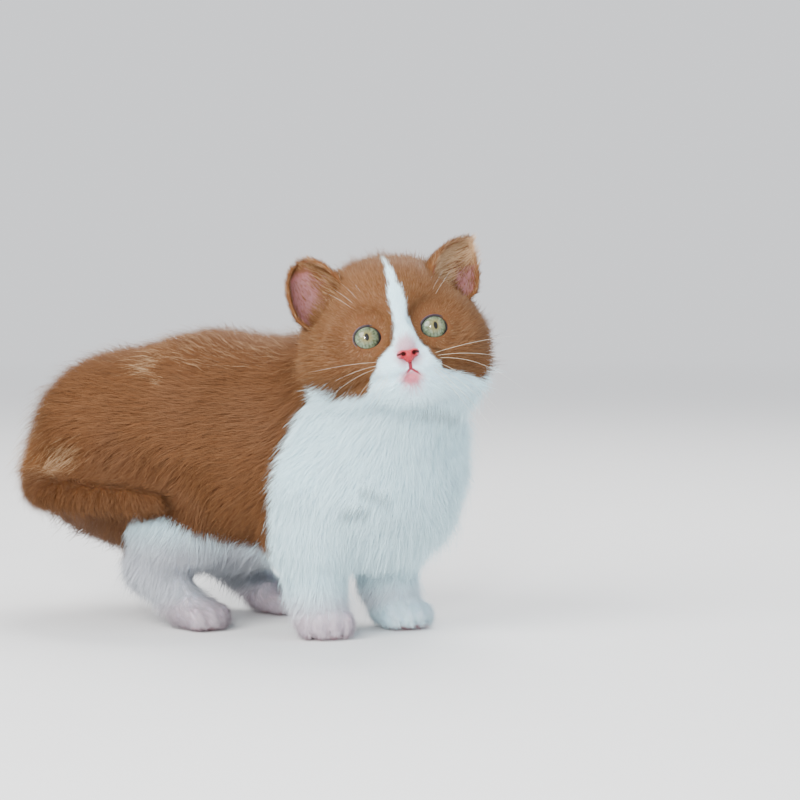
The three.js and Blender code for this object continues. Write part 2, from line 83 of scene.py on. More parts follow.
# Each ear: its root and turn, how far its tip leans, its height and how pointed it is, and the long
# hair over its inner edge: where it starts across the ear, and how cream and how rosy it is.
EARS = {
    "right": {
        "place": (3, -27, 17.2), "turn": (17, 2, -12), "lean": 0, "height": 18.3, "point": 0.52,
        "covered": 0.46, "cream": 0.25, "rosy": 0.15,
    },
    "left": {
        "place": (3, 27, 19.2), "turn": (-30, 2, 28), "lean": 5.5, "height": 21.2, "point": 1.15,
        "covered": 0.25, "cream": 0.75, "rosy": 0.4,
    },
}

# Both ears: how high their root and their widest place are, half their width there and at the tip,
# how deep the cup is as a share of that, how thick its wall is, and how many rows and columns of
# faces go over how many degrees.
EAR_ROOT, EAR_WIDEST = -16, -4
EAR_HALF_WIDTH, EAR_TIP, EAR_DEPTH, EAR_WALL = 11.4, 1.0, 0.95, 0.9
EAR_ROWS, EAR_COLUMNS, EAR_SWEEP = 30, 28, 208

# The limbs: each one's joints, the middle of its paw on the floor and the way the paw points.
FORELEGS = [
    {"joints": [(57, -20, 60), (56, -21, 42), (58, -19, 20)], "paw": (61, -18, 0), "yaw": -44},
    {"joints": [(62, 28, 60), (63, 27, 42), (65, 24.5, 20)], "paw": (71, 24, 0), "yaw": -22},
]
HIND_LEGS = [
    {"joints": [(-46, -20, 62), (-8, -27, 44), (-23, -29, 26)], "paw": (2, -29, 0), "yaw": -4},
    {"joints": [(-46, 28, 62), (-8, 32, 44), (-26, 32, 26)], "paw": (-1, 31, 0), "yaw": 4},
]
FORE_PAW_SIZE, HIND_PAW_SIZE = 1.05, 0.98
TAIL_WAY = [(-78, 2, 78), (-88, -10, 69), (-86, -28, 60), (-68, -46, 57), (-36, -55, 57), (1, -55, 57.5)]
TAIL_RADII = [11, 10, 9.5, 9, 8.6, 8.4, 8.2, 8, 7.8, 7.4, 6]

# How far the soles and the lowest hair stay off the floor, and the size of the cells that the skin
# is first made of.
SOLE, FLOOR_GAP, SKIN_CELL = 0.3, 0.1, 1.9

# The coat on each part: how deep the skin lies under the outline, how long and wide a tuft is, how
# steeply it leaves the skin, in degrees, and how many grow on a square millimetre.
COAT = {
    "trunk": {"depth": 4.0, "length": 8.4, "width": 0.29, "rise": 35, "count": 3.1},
    "neck": {"depth": 4.0, "length": 8.8, "width": 0.29, "rise": 35, "count": 3.4},
    "foreleg": {"depth": 2.8, "length": 7, "width": 0.28, "rise": 28, "count": 3.6},
    "hind_leg": {"depth": 3.0, "length": 7, "width": 0.28, "rise": 28, "count": 3.1},
    "paw": {"depth": 1.9, "length": 4.4, "width": 0.25, "rise": 16, "count": 5.0},
    "head": {"depth": 2.4, "length": 5.4, "width": 0.25, "rise": 30, "count": 4.8},
    "tail": {"depth": 3.2, "length": 7, "width": 0.28, "rise": 15, "count": 5.0},
}

# Each piece of the coat stays under this many triangles.
PIECE_LIMIT = 200_000

# Guard tufts are bent. They are longer and thinner than the straight ones, rise more degrees, and
# are pale more often.
GUARD_LENGTH, GUARD_WIDTH, GUARD_RISE, GUARD_PALE = 1.6, 0.5, 16, 3

# How deep a tuft's root is sunk in the skin, the size of the clumps that the tips gather in, and
# the size of each tuft's patch on the bake map.
ROOT_DEPTH, CLUMP, PATCH = 0.35, 3.2, 0.003


def turned(x, y, z):
    """The matrix that turns a point about x, then y, then z, by degrees."""
    turn = np.identity(3)
    for axis, angle in (("X", x), ("Y", y), ("Z", z)):
        turn = np.array(Matrix.Rotation(math.radians(angle), 3, axis)) @ turn
    return turn


HEAD_TURN = turned(HEAD_ROLL, HEAD_PITCH, HEAD_YAW)


def head_place(points):
    """Points given in the kitten's axes, in those of its head."""
    return (points - HEAD_CENTRE) @ HEAD_TURN


def from_head(points):
    """Points given in the head's axes, in those of the kitten."""
    return points @ HEAD_TURN.T + HEAD_CENTRE


def in_head(*point):
    """One point given in the head's axes, in those of the kitten."""
    return HEAD_TURN @ np.array(point, float) + HEAD_CENTRE


def middle_of(node):
    """The middle of a node's box in the frame, in millimetres."""
    low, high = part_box(node)
    return np.array((low + high) / 2) / MM


# Where the kitten's own axes start in the frame, from the middle between its eyes.
START = (middle_of("eye_left") + middle_of("eye_right")) / 2 - in_head(EYE[0], 0, EYE[2])


def in_frame(points):
    """Points in the kitten's axes as metres in the frame."""
    return (np.asarray(points, float) + START) * MM


# Distance fields: each takes an array of points and is negative inside the body.


def ball(centre, radii, turn=None):
    """An ellipsoid, with its radii along the axes of a turn."""
    centre, radii = np.array(centre, float), np.array(radii, float)
    turn = np.identity(3) if turn is None else turn

    def field(points):
        place = (points - centre) @ turn / radii
        near = np.sqrt((place**2).sum(-1))
        slope = np.sqrt(((place / radii) ** 2).sum(-1))
        return near * (near - 1) / np.maximum(slope, 1e-6)

    return field


def rod(start, end, start_radius, end_radius):
    """A round rod with a radius at each end."""
    start, end = np.array(start, float), np.array(end, float)
    way = end - start

    def field(points):
        gone = points - start
        along = np.clip(gone @ way / (way @ way), 0, 1)
        aside = np.sqrt(((gone - along[..., None] * way) ** 2).sum(-1))
        return aside - (start_radius + (end_radius - start_radius) * along)

    return field


def joined(fillet, *values):
    """Fields' values joined with a fillet of about the given radius."""
    least = values[0]
    for other in values[1:]:
        near = np.maximum(fillet - np.abs(least - other), 0) / fillet
        least = np.minimum(least, other) - near**2 * fillet / 4
    return least


def blend(fillet, *fields):
    """Bodies joined with a fillet."""
    return lambda points: joined(fillet, *(field(points) for field in fields))


def sink(rounding, body, hollow):
    """A body with a hollow in it, whose edge is rounded."""
    return lambda points: -joined(rounding, -body(points), hollow(points))


def carried(field, turn, place):
    """A field given in the axes of a turn and a place."""
    place = np.array(place, float)
    return lambda points: field((points - place) @ turn)


def mirrored(make):
    """What a function makes for the right side and for the left."""
    return [make(sign) for sign in SIDES.values()]


def slope_of(field, points):
    """How a field's value changes along each axis."""
    step = 0.1
    shifts = np.identity(3) * step
    return np.stack([field(points + s) - field(points - s) for s in shifts], -1) / (2 * step)


def on_surface(field, points, rounds=3):
    """The points of a field's surface nearest to some points."""
    points = np.array(points, float)
    for _ in range(rounds):
        slope = slope_of(field, points)
        points -= slope * (field(points) / np.maximum((slope**2).sum(-1), 0.04))[..., None]
    return points


def unit(vectors):
    """Vectors brought to a length of 1."""
    return vectors / np.maximum(np.linalg.norm(vectors, axis=-1, keepdims=True), 1e-9)


def smooth_step(low, high, values):
    """Shares that rise smoothly from 0 at low to 1 at high."""
    share = np.clip((values - low) / (high - low), 0, 1)
    return share * share * (3 - 2 * share)


def noise(points, size, seed):
    """Smooth noise between -1 and 1 with lumps of about the given size."""
    lattice = np.random.default_rng(seed).uniform(-1, 1, (32, 32, 32))
    places = np.asarray(points, float) / size + 100
    cells = np.floor(places).astype(int)
    share = places - cells
    share = share * share * (3 - 2 * share)
    total = np.zeros(places.shape[:-1])
    for corner in range(8):
        steps = np.array([corner & 1, corner >> 1 & 1, corner >> 2])
        index = (cells + steps) % 32
        weight = np.where(steps, share, 1 - share).prod(-1)
        total += weight * lattice[index[..., 0], index[..., 1], index[..., 2]]
    return total


# The trunk: hips, loin, ribs and breast.
trunk = blend(
    16,
    ball((-60, 4, 74), (48, 44, 45)),
    ball((-12, 4, 74), (60, 45, 55)),
    ball((34, 5, 77), (44, 44, 50)),
    ball((68, 8, 72), (42, 44, 46)),
)


def eye_turn(sign):
    return turned(0, 0, sign * EYE_OUTWARD)


def eye_centre(sign):
    return np.array([EYE[0], sign * EYE[1], EYE[2]])


def ear_turn(name):
    return turned(*EARS[name]["turn"])


skull = blend(
    9,
    ball((-4, 0, 4), (33, 36, 28)),
    *mirrored(lambda s: ball((3, s * 20, -9), (23, 20.5, 18.5))),
    ball((17.5, 0, -8), (13.5, 10.5, 13)),
)
for side in SIDES.values():
    orbit = carried(ball((12.4, side * 0.5, 0.3), (6, 11.5, 10)), eye_turn(side), eye_centre(side))
    skull = sink(4, skull, orbit)
    socket = carried(ball((9.5, 0, 0), (5.5, 7.3, 6.1)), eye_turn(side), eye_centre(side))
    skull = sink(1.5, skull, socket)
muzzle = blend(
    3,
    *mirrored(lambda s: ball((25.5, s * 5.6, -19), (9, 8.4, 6.4))),
    ball((25, 0, -11.5), (9, 5.5, 7)),
    ball((24.3, 0, -25.5), (7, 7.5, 5.5)),
)
head = blend(7, skull, muzzle)
for ear_name in EARS:
    cup = carried(ball((5.5, 0, 1), (6.5, 9.5, 11)), ear_turn(ear_name), EARS[ear_name]["place"])
    head = sink(3, head, cup)

neck = blend(
    12,
    rod((66, 4, 100), in_head(-12, 0, -10), 32, 28),
    rod((80, 5, 94), in_head(2, 4, -18), 30, 26),
    ball(in_head(-2, 22, -24), (15, 15, 13), HEAD_TURN),
)


def leg(limb, radii, ankle):
    """A leg along its joints, with a pair of radii for each bone."""
    joints = [*limb["joints"], (limb["paw"][0] - ankle, limb["paw"][1], 10)]
    pairs = zip(joints, joints[1:], radii)
    return blend(10, *(rod(start, end, *sizes) for start, end, sizes in pairs))


def paw(limb, size):
    """A paw with its four toes."""
    toes = []
    for step in (-1.5, -0.5, 0.5, 1.5):
        centre = np.array([10.5 - abs(step) * 2.6, step * 5.6, 5.6]) * size
        toes.append(ball(centre, np.array([6.2, 4, 6.4]) * size))
    whole = blend(4.5, ball((-1, 0, 7), (13 * size, 12 * size, 9.2)), *toes)
    return carried(whole, turned(0, 0, limb["yaw"]), limb["paw"])


def smooth_way(points, count):
    """Evenly spaced points along a smooth curve through some points."""
    points = np.array(points, float)
    ends = np.vstack([2 * points[0] - points[1], points, 2 * points[-1] - points[-2]])
    fine = []
    for i in range(1, len(ends) - 2):
        a, b, c, d = ends[i - 1 : i + 3]
        for t in np.linspace(0, 1, 40, endpoint=False):
            cubic = 3 * b - a - 3 * c + d
            fine.append((2 * b + (c - a) * t + (2 * a - 5 * b + 4 * c - d) * t**2 + cubic * t**3) / 2)
    fine = np.array([*fine, ends[-2]])
    gone = np.concatenate([[0], np.cumsum(np.linalg.norm(np.diff(fine, axis=0), axis=1))])
    stops = np.linspace(0, gone[-1], count)
    return np.stack([np.interp(stops, gone, fine[:, axis]) for axis in range(3)], -1)


tail_joints = smooth_way(TAIL_WAY, len(TAIL_RADII))
tail = blend(2, *map(rod, tail_joints, tail_joints[1:], TAIL_RADII, TAIL_RADII[1:]))

PARTS = {
    "trunk": trunk,
    "neck": neck,
    "foreleg": blend(6, *(leg(limb, [(20, 17), (16, 12), (11.5, 10.5)], 0) for limb in FORELEGS)),
    "hind_leg": blend(6, *(leg(limb, [(26, 20), (17, 12), (11, 10)], 6) for limb in HIND_LEGS)),
    "paw": blend(
        4,
        *(paw(limb, FORE_PAW_SIZE) for limb in FORELEGS),
        *(paw(limb, HIND_PAW_SIZE) for limb in HIND_LEGS),
    ),
    "head": carried(head, HEAD_TURN, HEAD_CENTRE),
    "tail": tail,
}


def outline_of(points, values):
    """The outside of the coat, from the value of each part's field, with the neck kept off the face."""
    place = head_place(points)
    off = 14 * smooth_step(4, 16, place[..., 0]) * smooth_step(-26, -17, place[..., 2])
    legs = joined(6, values["foreleg"], values["hind_leg"])
    body = joined(12, joined(14, values["trunk"], values["neck"] + off), legs)
    body = joined(4, body, values["paw"])
    return joined(16, joined(11, body, values["head"]), values["tail"])


def values_at(points):
    """The value of each part's field."""
    return {name: field(points) for name, field in PARTS.items()}


def shares_at(points, values, softness=3.0):
    """How much each part counts at each point: nearer parts count more, and the face before the neck."""
    place = head_place(points)
    on_face = smooth_step(0, 14, place[..., 0]) * smooth_step(-36, -26, place[..., 2])
    values = dict(values, neck=values["neck"] + 14 * on_face)
    nearest = np.minimum.reduce(list(values.values()))
    shares = {name: np.exp((nearest - value) / softness) for name, value in values.items()}
    total = sum(shares.values())
    return {name: share / total for name, share in shares.items()}


def face_share(place):
    """How much a point of the head, in its axes, belongs to the short-haired face."""
    front = smooth_step(6, 22, place[..., 0])
    low_cheek = smooth_step(12, 24, np.abs(place[..., 1])) * smooth_step(2, -10, place[..., 2])
    return front * (1 - 0.75 * low_cheek)


def cheek_share(place):
    """How much a point of the head belongs to the long-haired cheeks."""
    side = smooth_step(16, 28, np.abs(place[..., 1]))
    return side * smooth_step(6, -8, place[..., 2]) * smooth_step(26, 14, place[..., 0])


def depth_at(points, shares):
    """How deep the skin lies under the coat's outline."""
    depth = sum(shares[name] * COAT[name]["depth"] for name in COAT)
    place = head_place(points)
    depth += shares["head"] * (1.6 * cheek_share(place) - 1.5 * face_share(place))
    return depth


def bare_skin(points):
    """The skin before it has lids and lips."""
    values = values_at(points)
    return outline_of(points, values) + depth_at(points, shares_at(points, values))


def mouth_steps():
    """The steps of the mouth's line, which parts to both sides, as pairs of points on the skin."""
    steps = []
    for sign in SIDES.values():
        line = np.array([in_head(x, y * sign, z) for x, y, z in MOUTH])
        line = on_surface(bare_skin, line, 5)
        steps += zip(line, line[1:])
    return steps


def along_mouth(lift, radius):
    """Rods along the mouth's line, lifted out of the skin."""
    out = MOUTH_OUT * lift
    return [rod(start + out, end + out, radius, radius) for start, end in MOUTH_STEPS]


MOUTH_STEPS = mouth_steps()
MOUTH_OUT = unit(HEAD_TURN @ np.array([1.0, 0, 0]))
lips = blend(0.8, *along_mouth(0, LIP))
mouth_cut = blend(0.3, *along_mouth(LIP, MOUTH_LINE))


def from_mouth(points):
    """How far each point is from the line of the mouth between its lips."""
    return np.minimum.reduce([way(points) for way in along_mouth(LIP * 0.7, 0)])


def mouth_fade(points):
    """How strongly the mouth shows: fully in the middle, and less along its arms."""
    aside = head_place(points)[..., 1]
    return np.where(aside > 0, smooth_step(5.5, 2, aside), smooth_step(-3.4, -1.0, aside))


def window_place(points, side):
    """Points in the axes of the opening between the lids of one eye."""
    sign = SIDES[side]
    aside, up = EYE_SHIFTS[side]
    return (head_place(points) - eye_centre(sign)) @ eye_turn(sign) - np.array([0, aside, up])


def from_eyes(place):
    """How far points of the head, in its axes, are from the nearest eye's middle."""
    return np.minimum(*(np.linalg.norm(place - eye_centre(sign), axis=-1) for sign in SIDES.values()))


def eyelids(points):
    """Both eyes' lids: a thin layer on each eyeball."""
    return from_eyes(head_place(points)) - EYE_RADIUS - EYELID


def eye_openings(points):
    """The openings between the lids, below zero inside."""
    fields = []
    for side in SIDES:
        local = window_place(points, side)
        wide, tall = EYE_WINDOWS[side]
        oval = np.hypot(local[..., 1] / wide, local[..., 2] / tall) - 1
        fields.append(np.maximum(oval * tall, 3 - local[..., 0]))
    return np.minimum(*fields)


def skin_field(points):
    """The skin with its lids and lips, and flat under the soles."""
    lidded = joined(4.5, bare_skin(points), eyelids(points))
    lipped = joined(1.2, lidded, lips(points) + 0.25)
    return np.maximum(lipped, SOLE - points[..., 2])


skin_field = sink(0.5, sink(0.4, skin_field, eye_openings), mouth_cut)


def net_of(field, low, high, cell):
    """The surface of a field in a box, as points and four-cornered faces."""
    low, high = np.array(low, float), np.array(high, float)
    counts = np.ceil((high - low) / cell).astype(int) + 1
    axes = [low[axis] + cell * np.arange(counts[axis]) for axis in range(3)]
    grid = np.stack(np.meshgrid(*axes, indexing="ij"), -1)
    values = np.concatenate([field(slab.reshape(-1, 3)) for slab in grid]).reshape(counts)
    inside = values < 0
    total = np.zeros((*(counts - 1), 3))
    number = np.zeros(counts - 1)
    corners = [tuple(c >> axis & 1 for axis in range(3)) for c in range(8)]
    for one in corners:
        for axis in range(3):
            if one[axis]:
                continue
            other = tuple(1 if a == axis else c for a, c in enumerate(one))
            first = tuple(slice(c, n - 1 + c) for c, n in zip(one, counts))
            second = tuple(slice(c, n - 1 + c) for c, n in zip(other, counts))
            crossed = inside[first] != inside[second]
            change = np.where(crossed, values[first] - values[second], 1)
            place = np.stack([np.full(crossed.shape, float(c)) for c in one], -1)
            place[..., axis] = np.clip(values[first] / change, 0, 1)
            total[crossed] += place[crossed]
            number += crossed
    cells = np.argwhere(number > 0)
    index = np.full(counts - 1, -1)
    index[tuple(cells.T)] = np.arange(len(cells))
    points = low + (cells + total[tuple(cells.T)] / number[tuple(cells.T)][:, None]) * cell
    faces = []
    for axis in range(3):
        b, c = (axis + 1) % 3, (axis + 2) % 3
        first = [slice(1, -1)] * 3
        second = [slice(1, -1)] * 3
        first[axis], second[axis] = slice(0, -1), slice(1, None)
        crossed = inside[tuple(first)] != inside[tuple(second)]
        found = np.argwhere(crossed)
        found[:, b] += 1
        found[:, c] += 1
        ring = []
        for step_b, step_c in ((-1, -1), (0, -1), (0, 0), (-1, 0)):
            near = found.copy()
            near[:, b] += step_b
            near[:, c] += step_c
            ring.append(index[tuple(near.T)])
        ring = np.stack(ring, -1)
        outward = inside[tuple(found.T)]
        ring[~outward] = ring[~outward][:, ::-1]
        faces.append(ring)
    return points, np.concatenate(faces)


# Meshes and objects.


def mesh_of(name, points, *face_lists):
    """A mesh from points in the kitten's axes and arrays of faces, each with its own corner count."""
    mesh = bpy.data.meshes.new(name)
    face_lists = [np.asarray(faces, np.int32) for faces in face_lists if len(faces)]
    corners = np.concatenate([faces.ravel() for faces in face_lists])
    sizes = np.concatenate([np.full(len(faces), faces.shape[1]) for faces in face_lists])
    starts = np.concatenate([[0], np.cumsum(sizes)[:-1]])
    mesh.vertices.add(len(points))
    mesh.vertices.foreach_set("co", in_frame(points).astype(np.float32).ravel())
    mesh.loops.add(len(corners))
    mesh.loops.foreach_set("vertex_index", corners)
    mesh.polygons.add(len(sizes))
    mesh.polygons.foreach_set("loop_start", starts.astype(np.int32))
    mesh.update(calc_edges=True)
    mesh.polygons.foreach_set("use_smooth", np.ones(len(sizes), bool))
    return mesh


def read(items, key, width, stored=np.float32):
    """A property of all of a mesh's items, as rows of the given width."""
    values = np.zeros(len(items) * width, stored)
    items.foreach_get(key, values)
    return values.reshape(-1, width)


def set_values(mesh, name, values):
    """Keeps values for a mesh's points under a name."""
    values = np.asarray(values, np.float32)
    kind, key = ("FLOAT", "value") if values.ndim == 1 else ("FLOAT_VECTOR", "vector")
    mesh.attributes.new(name, kind, "POINT").data.foreach_set(key, values.ravel())


def get_values(mesh, name):
    """The values that a mesh's points have under a name."""
    attribute = mesh.attributes[name]
    if attribute.data_type == "FLOAT":
        return read(attribute.data, "value", 1)[:, 0].astype(float)
    return read(attribute.data, "vector", 3).astype(float)


def show(name, mesh, finish, replaced=()):
    """Shows a mesh as a piece of the kitten."""
    piece = bpy.data.objects.new(name, mesh)
    bpy.context.scene.collection.objects.link(piece)
    mesh.materials.append(finish)
    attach(piece, "root")
    if replaced:
        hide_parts(*replaced)


# Markings, in millimetres: above zero is white, below zero is cinnamon. The bib's edge is x at some
# heights and the belly's is a height at some x, in the kitten's axes. The blaze's edges are y at some
# heights and the mask's is a height at some y, in the head's.
BIB_EDGE = ((36, 47), (50, 47), (61, 49.5), (76, 51.5), (95, 58), (109, 67))
BELLY_EDGE = (
    (-60, 8), (-42, 18), (-31, 30), (-25, 43), (-18, 47), (-2, 49),
    (4, 45), (8, 42), (14, 39), (20, 36), (47, 35),
)
BLAZE_EDGES = {
    "right": ((-14, -7.5), (-10, -5.6), (-4, -4.0), (3, -2.5), (10, -2.3), (18, -1.5), (27, 0.8)),
    "left": ((-14, 9.5), (-8, 6.2), (-1, 4.6), (6, 3.9), (12, 3.9), (20, 2.8), (28, 1.6)),
}
MASK_EDGE = (
    (-38, -17), (-35, -21), (-30, -24.4), (-26, -26.1), (-22, -26.7), (-17, -26), (-15.3, -21),
    (-12.4, -15.9), (-8.9, -12.5), (-5.4, -10), (5.9, -10), (8.8, -16), (12.5, -19.6),
    (17, -22), (26, -24.9), (33, -28),
)

# Cream streaks on the body, each with its middle, its radius and its strength.
STREAKS = (((-64, -42, 74), 17, 0.5), ((-27, -23, 115), 12, 0.6), ((-18, -33, 107), 8, 0.5))

# Painted shade in the coat's folds on the body, each with two ends, a radius and a strength, and
# darker spots of the head, each with its middle, its radius and its strength.
FOLD_SHADE = (
    ((80.2, -30.7, 53.7), (87.8, -25.2, 53.2), 3.4, 0.6),
    ((88.4, -28.4, 63.5), (96.2, -20.6, 58.7), 3, 0.5),
    ((104, -23.3, 93.4), (111.7, -16.6, 94.5), 3, 0.4),
    ((111.7, -16.6, 94.5), (115.3, -7.8, 94.6), 3.2, 0.6),
    ((115.3, -7.8, 94.6), (114.8, 5.6, 92.1), 3.2, 0.6),
)
DARK_SPOTS = (
    ((13, -29, -9), 5, 0.2), ((10, -31, -14), 6, 0.15), ((14, 30, -8), 9, 0.15),
    ((22, -9, 12), 5, 0.12), ((20, 12, 13), 6, 0.14), ((8, -30, -22), 9, 0.14),
)


def edge_at(edge, values):
    """The place of a marking's edge, given as pairs of a value and the place there."""
    return np.interp(values, *np.transpose(edge))


def body_marking(points):
    """The white bib, and the white under the belly."""
    x, z = points[..., 0], points[..., 2]
    bib = np.minimum(x - edge_at(BIB_EDGE, z), 132 - z)
    return np.maximum(bib, edge_at(BELLY_EDGE, x) - z)


def head_marking(place):
    """The blaze between the eyes, and the white of the muzzle and the cheeks."""
    x, y, z = place[..., 0], place[..., 1], place[..., 2]
    between = np.minimum(y - edge_at(BLAZE_EDGES["right"], z), edge_at(BLAZE_EDGES["left"], z) - y)
    blaze = np.minimum(between, (x - 9) * 0.4)
    mask = edge_at(MASK_EDGE, y) - z
    return np.maximum(blaze, np.minimum(mask, (x + 22) * 0.5))


def marking_at(points, shares):
    """The marking of the whole kitten, with uneven edges."""
    place = head_place(points)
    on_head = smooth_step(0.35, 0.65, shares["head"])
    marking = on_head * head_marking(place) + (1 - on_head) * body_marking(points)
    marking = np.where(shares["tail"] > 0.5, -6, marking)
    return marking + 0.9 * noise(points, 6, 11) + 0.6 * noise(points, 2.5, 12)


def pale_at(points):
    """The share of the brown tufts that are cream: streaks on the back and the rump, and round the eyes."""
    pale = np.zeros(len(points))
    streaks = 0.65 + 0.5 * noise(points * [0.45, 1, 1], 3.5, 51)
    for centre, radius, strength in STREAKS:
        away = np.linalg.norm((points - np.array(centre)) * [0.8, 1, 1.2], axis=-1)
        pale = np.maximum(pale, strength * smooth_step(radius, radius * 0.2, away) * streaks)
    ridge = smooth_step(108, 118, points[:, 2]) * smooth_step(60, 30, points[:, 0])
    rump = smooth_step(-72, -96, points[:, 0])
    pale = np.maximum(pale, 0.16 * rump + 0.07 * ridge)
    for side in SIDES:
        local = window_place(points, side)
        ring = smooth_step(10, 6, np.hypot(local[:, 1], local[:, 2] * 1.15)) * (local[:, 0] > 0)
        pale = np.maximum(pale, 0.04 * ring)
    return pale


def head_flow(points):
    """The way the head's hair points: away from the nose and from the eyes."""
    place = head_place(points)
    from_nose = place - NOSE + [3, 0, 1]
    on_muzzle = smooth_step(22, 28, place[..., 0:1]) * smooth_step(-8, -13, place[..., 2:3])
    from_nose = unit(from_nose * (1 - [0, 0, 0.6] * on_muzzle))
    for sign in SIDES.values():
        away = (place - eye_centre(sign)) * [0, 1, 1]
        near = smooth_step(13, 7, np.linalg.norm(away, axis=-1, keepdims=True)) * (place[..., 0:1] > 8)
        from_nose = unit(from_nose * (1 - 0.9 * near) + unit(away) * 0.9 * near)
    return from_nose @ HEAD_TURN.T


def trunk_flow(points):
    """The way the trunk's hair points: to the rear, down on the breast, and down over the tail."""
    x, z = points[..., 0:1], points[..., 2:3]
    front = smooth_step(25, 62, x)
    low = smooth_step(72, 42, z)
    flow = unit(np.concatenate([-1 + 0.6 * front, 0 * x, -0.4 - 0.6 * low - 0.5 * front], -1))
    over_tail = smooth_step(26, 14, PARTS["tail"](points))[:, None] * (z > 50)
    return unit(flow + over_tail * [0.5, -0.5, -1.6])


def paw_flow(points):
    """The way the paws' hair points: the way of the nearest paw, and down."""
    limbs = FORELEGS + HIND_LEGS
    middles = np.array([limb["paw"] for limb in limbs], float)
    yaws = np.radians([limb["yaw"] for limb in limbs])
    nearest = np.linalg.norm(points[:, None] - middles, axis=-1).argmin(1)
    return unit(np.stack([np.cos(yaws), np.sin(yaws), 0 * yaws - 0.5], -1))[nearest]


def tail_flow(points):
    """The way the tail's hair points: along it to its tip, and down, and at its root as the trunk's."""
    x = points[..., 0:1]
    ways = np.gradient(tail_joints, axis=0)
    near = np.linalg.norm(points[:, None] - tail_joints, axis=-1)
    weights = np.exp(-(near - near.min(1, keepdims=True)) / 3)
    at_root = smooth_step(-62, -78, x)
    along = unit(weights @ unit(ways)) * (0.35 + 0.65 * smooth_step(-25, 0, x))
    return unit(along + [0, 0, -0.8]) * (1 - at_root) + np.array([-0.5, 0, -0.85]) * at_root


def flow_at(points, shares):
    """The lie of the coat: the way the hair points, before it is laid along the skin."""
    one = np.ones((len(points), 1))
    flows = {
        "trunk": trunk_flow(points),
        "neck": unit(np.array([-0.6, 0, -1.0])) * one,
        "foreleg": unit(np.array([-0.15, 0, -1.0])) * one,
        "hind_leg": unit(np.array([-0.3, 0, -1.0])) * one,
        "head": head_flow(points),
        "paw": paw_flow(points),
        "tail": tail_flow(points),
    }
    return sum(shares[name][:, None] ** 2 * flows[name] for name in flows)


def mixed(shares, key):
    """A size of the coat, mixed from those of the parts."""
    return sum(shares[name] * COAT[name][key] for name in COAT)


def ear_flap(name):
    """An ear as a thin cup: its points in the head's axes, its faces, and per point whether it is
    inside the cup, how far up it is and how far to the left, from -1 at one edge to 1 at the other."""
    rows, columns = EAR_ROWS, EAR_COLUMNS
    ear = EARS[name]
    points, inner, heights, sideways = [], [], [], []
    for layer, inset in enumerate((0, EAR_WALL)):
        for row in range(rows + 1):
            up = row / rows
            z = EAR_ROOT + (ear["height"] - EAR_ROOT) * up
            grown = max(z - EAR_WIDEST, 0) / (ear["height"] - EAR_WIDEST)
            sunk = max(EAR_WIDEST - z, 0)
            half = EAR_TIP + EAR_HALF_WIDTH * max(1 - grown**2, 0) ** ear["point"] - 0.5 * sunk
            for column in range(columns + 1):
                round_angle = math.radians(EAR_SWEEP * column / columns - EAR_SWEEP / 2)
                wall = min(inset, half * 0.6)
                back = half * EAR_DEPTH * (1 - 0.35 * up) - wall
                across = (half - wall) * math.sin(round_angle) + ear["lean"] * grown**2
                points.append((half * 0.5 - back * math.cos(round_angle), across, z - wall * up**3))
                inner.append(layer)
                heights.append(up)
                sideways.append(column / columns * 2 - 1)
    width = columns + 1
    layer_size = (rows + 1) * width
    faces = []

    def join_layers(a, b, turn_over):
        quad = (a, b, b + layer_size, a + layer_size)
        faces.append(quad[::-1] if turn_over else quad)

    for row in range(rows):
        start, end = row * width, row * width + columns
        for a in range(start, end):
            faces.append((a, a + width, a + width + 1, a + 1))
            faces.append(tuple(layer_size + i for i in (a, a + 1, a + width + 1, a + width)))
        join_layers(start, start + width, True)
        join_layers(end, end + width, False)
    for start, turn_over in ((0, False), (rows * width, True)):
        for a in range(start, start + columns):
            join_layers(a, a + 1, turn_over)
    points = np.array(points) @ ear_turn(name).T + np.array(ear["place"])
    return points, np.array(faces), np.array(inner), np.array(heights), np.array(sideways)


def refined(points, faces, chosen):
    """Splits the faces whose points are all chosen into four, and draws the points on the skin."""
    mesh = bpy.data.meshes.new("draft")
    mesh.from_pydata(points.tolist(), [], faces if isinstance(faces, list) else faces.tolist())
    shape = bmesh.new()
    shape.from_mesh(mesh)
    shape.verts.ensure_lookup_table()
    picked = [e for e in shape.edges if chosen[e.verts[0].index] and chosen[e.verts[1].index]]
    bmesh.ops.subdivide_edges(shape, edges=picked, cuts=1, use_grid_fill=True)
    bmesh.ops.triangulate(shape, faces=[f for f in shape.faces if len(f.verts) > 4])
    shape.to_mesh(mesh)
    shape.free()
    points = read(mesh.vertices, "co", 3)
    faces = [tuple(p.vertices) for p in mesh.polygons]
    bpy.data.meshes.remove(mesh)
    return on_surface(skin_field, points, 2), faces


def skin_shape():
    """The skin's points and faces: coarse on the body, finer on the head, finest at the mouth."""
    points, faces = net_of(skin_field, (-112, -70, -4), (132, 60, 174), SKIN_CELL)
    points = on_surface(skin_field, points, 3)
    place = head_place(points)
    on_head = (PARTS["head"](points) < 5) & (place[:, 0] > -30)
    points, faces = refined(points, faces, on_head)
    place = head_place(points)
    on_face = (place[:, 0] > 14) & (np.abs(place[:, 1]) < 25) & (place[:, 2] > -34) & (place[:, 2] < 10)
    points, faces = refined(points, faces, on_face)
    return refined(points, faces, from_mouth(points) < 2.5)


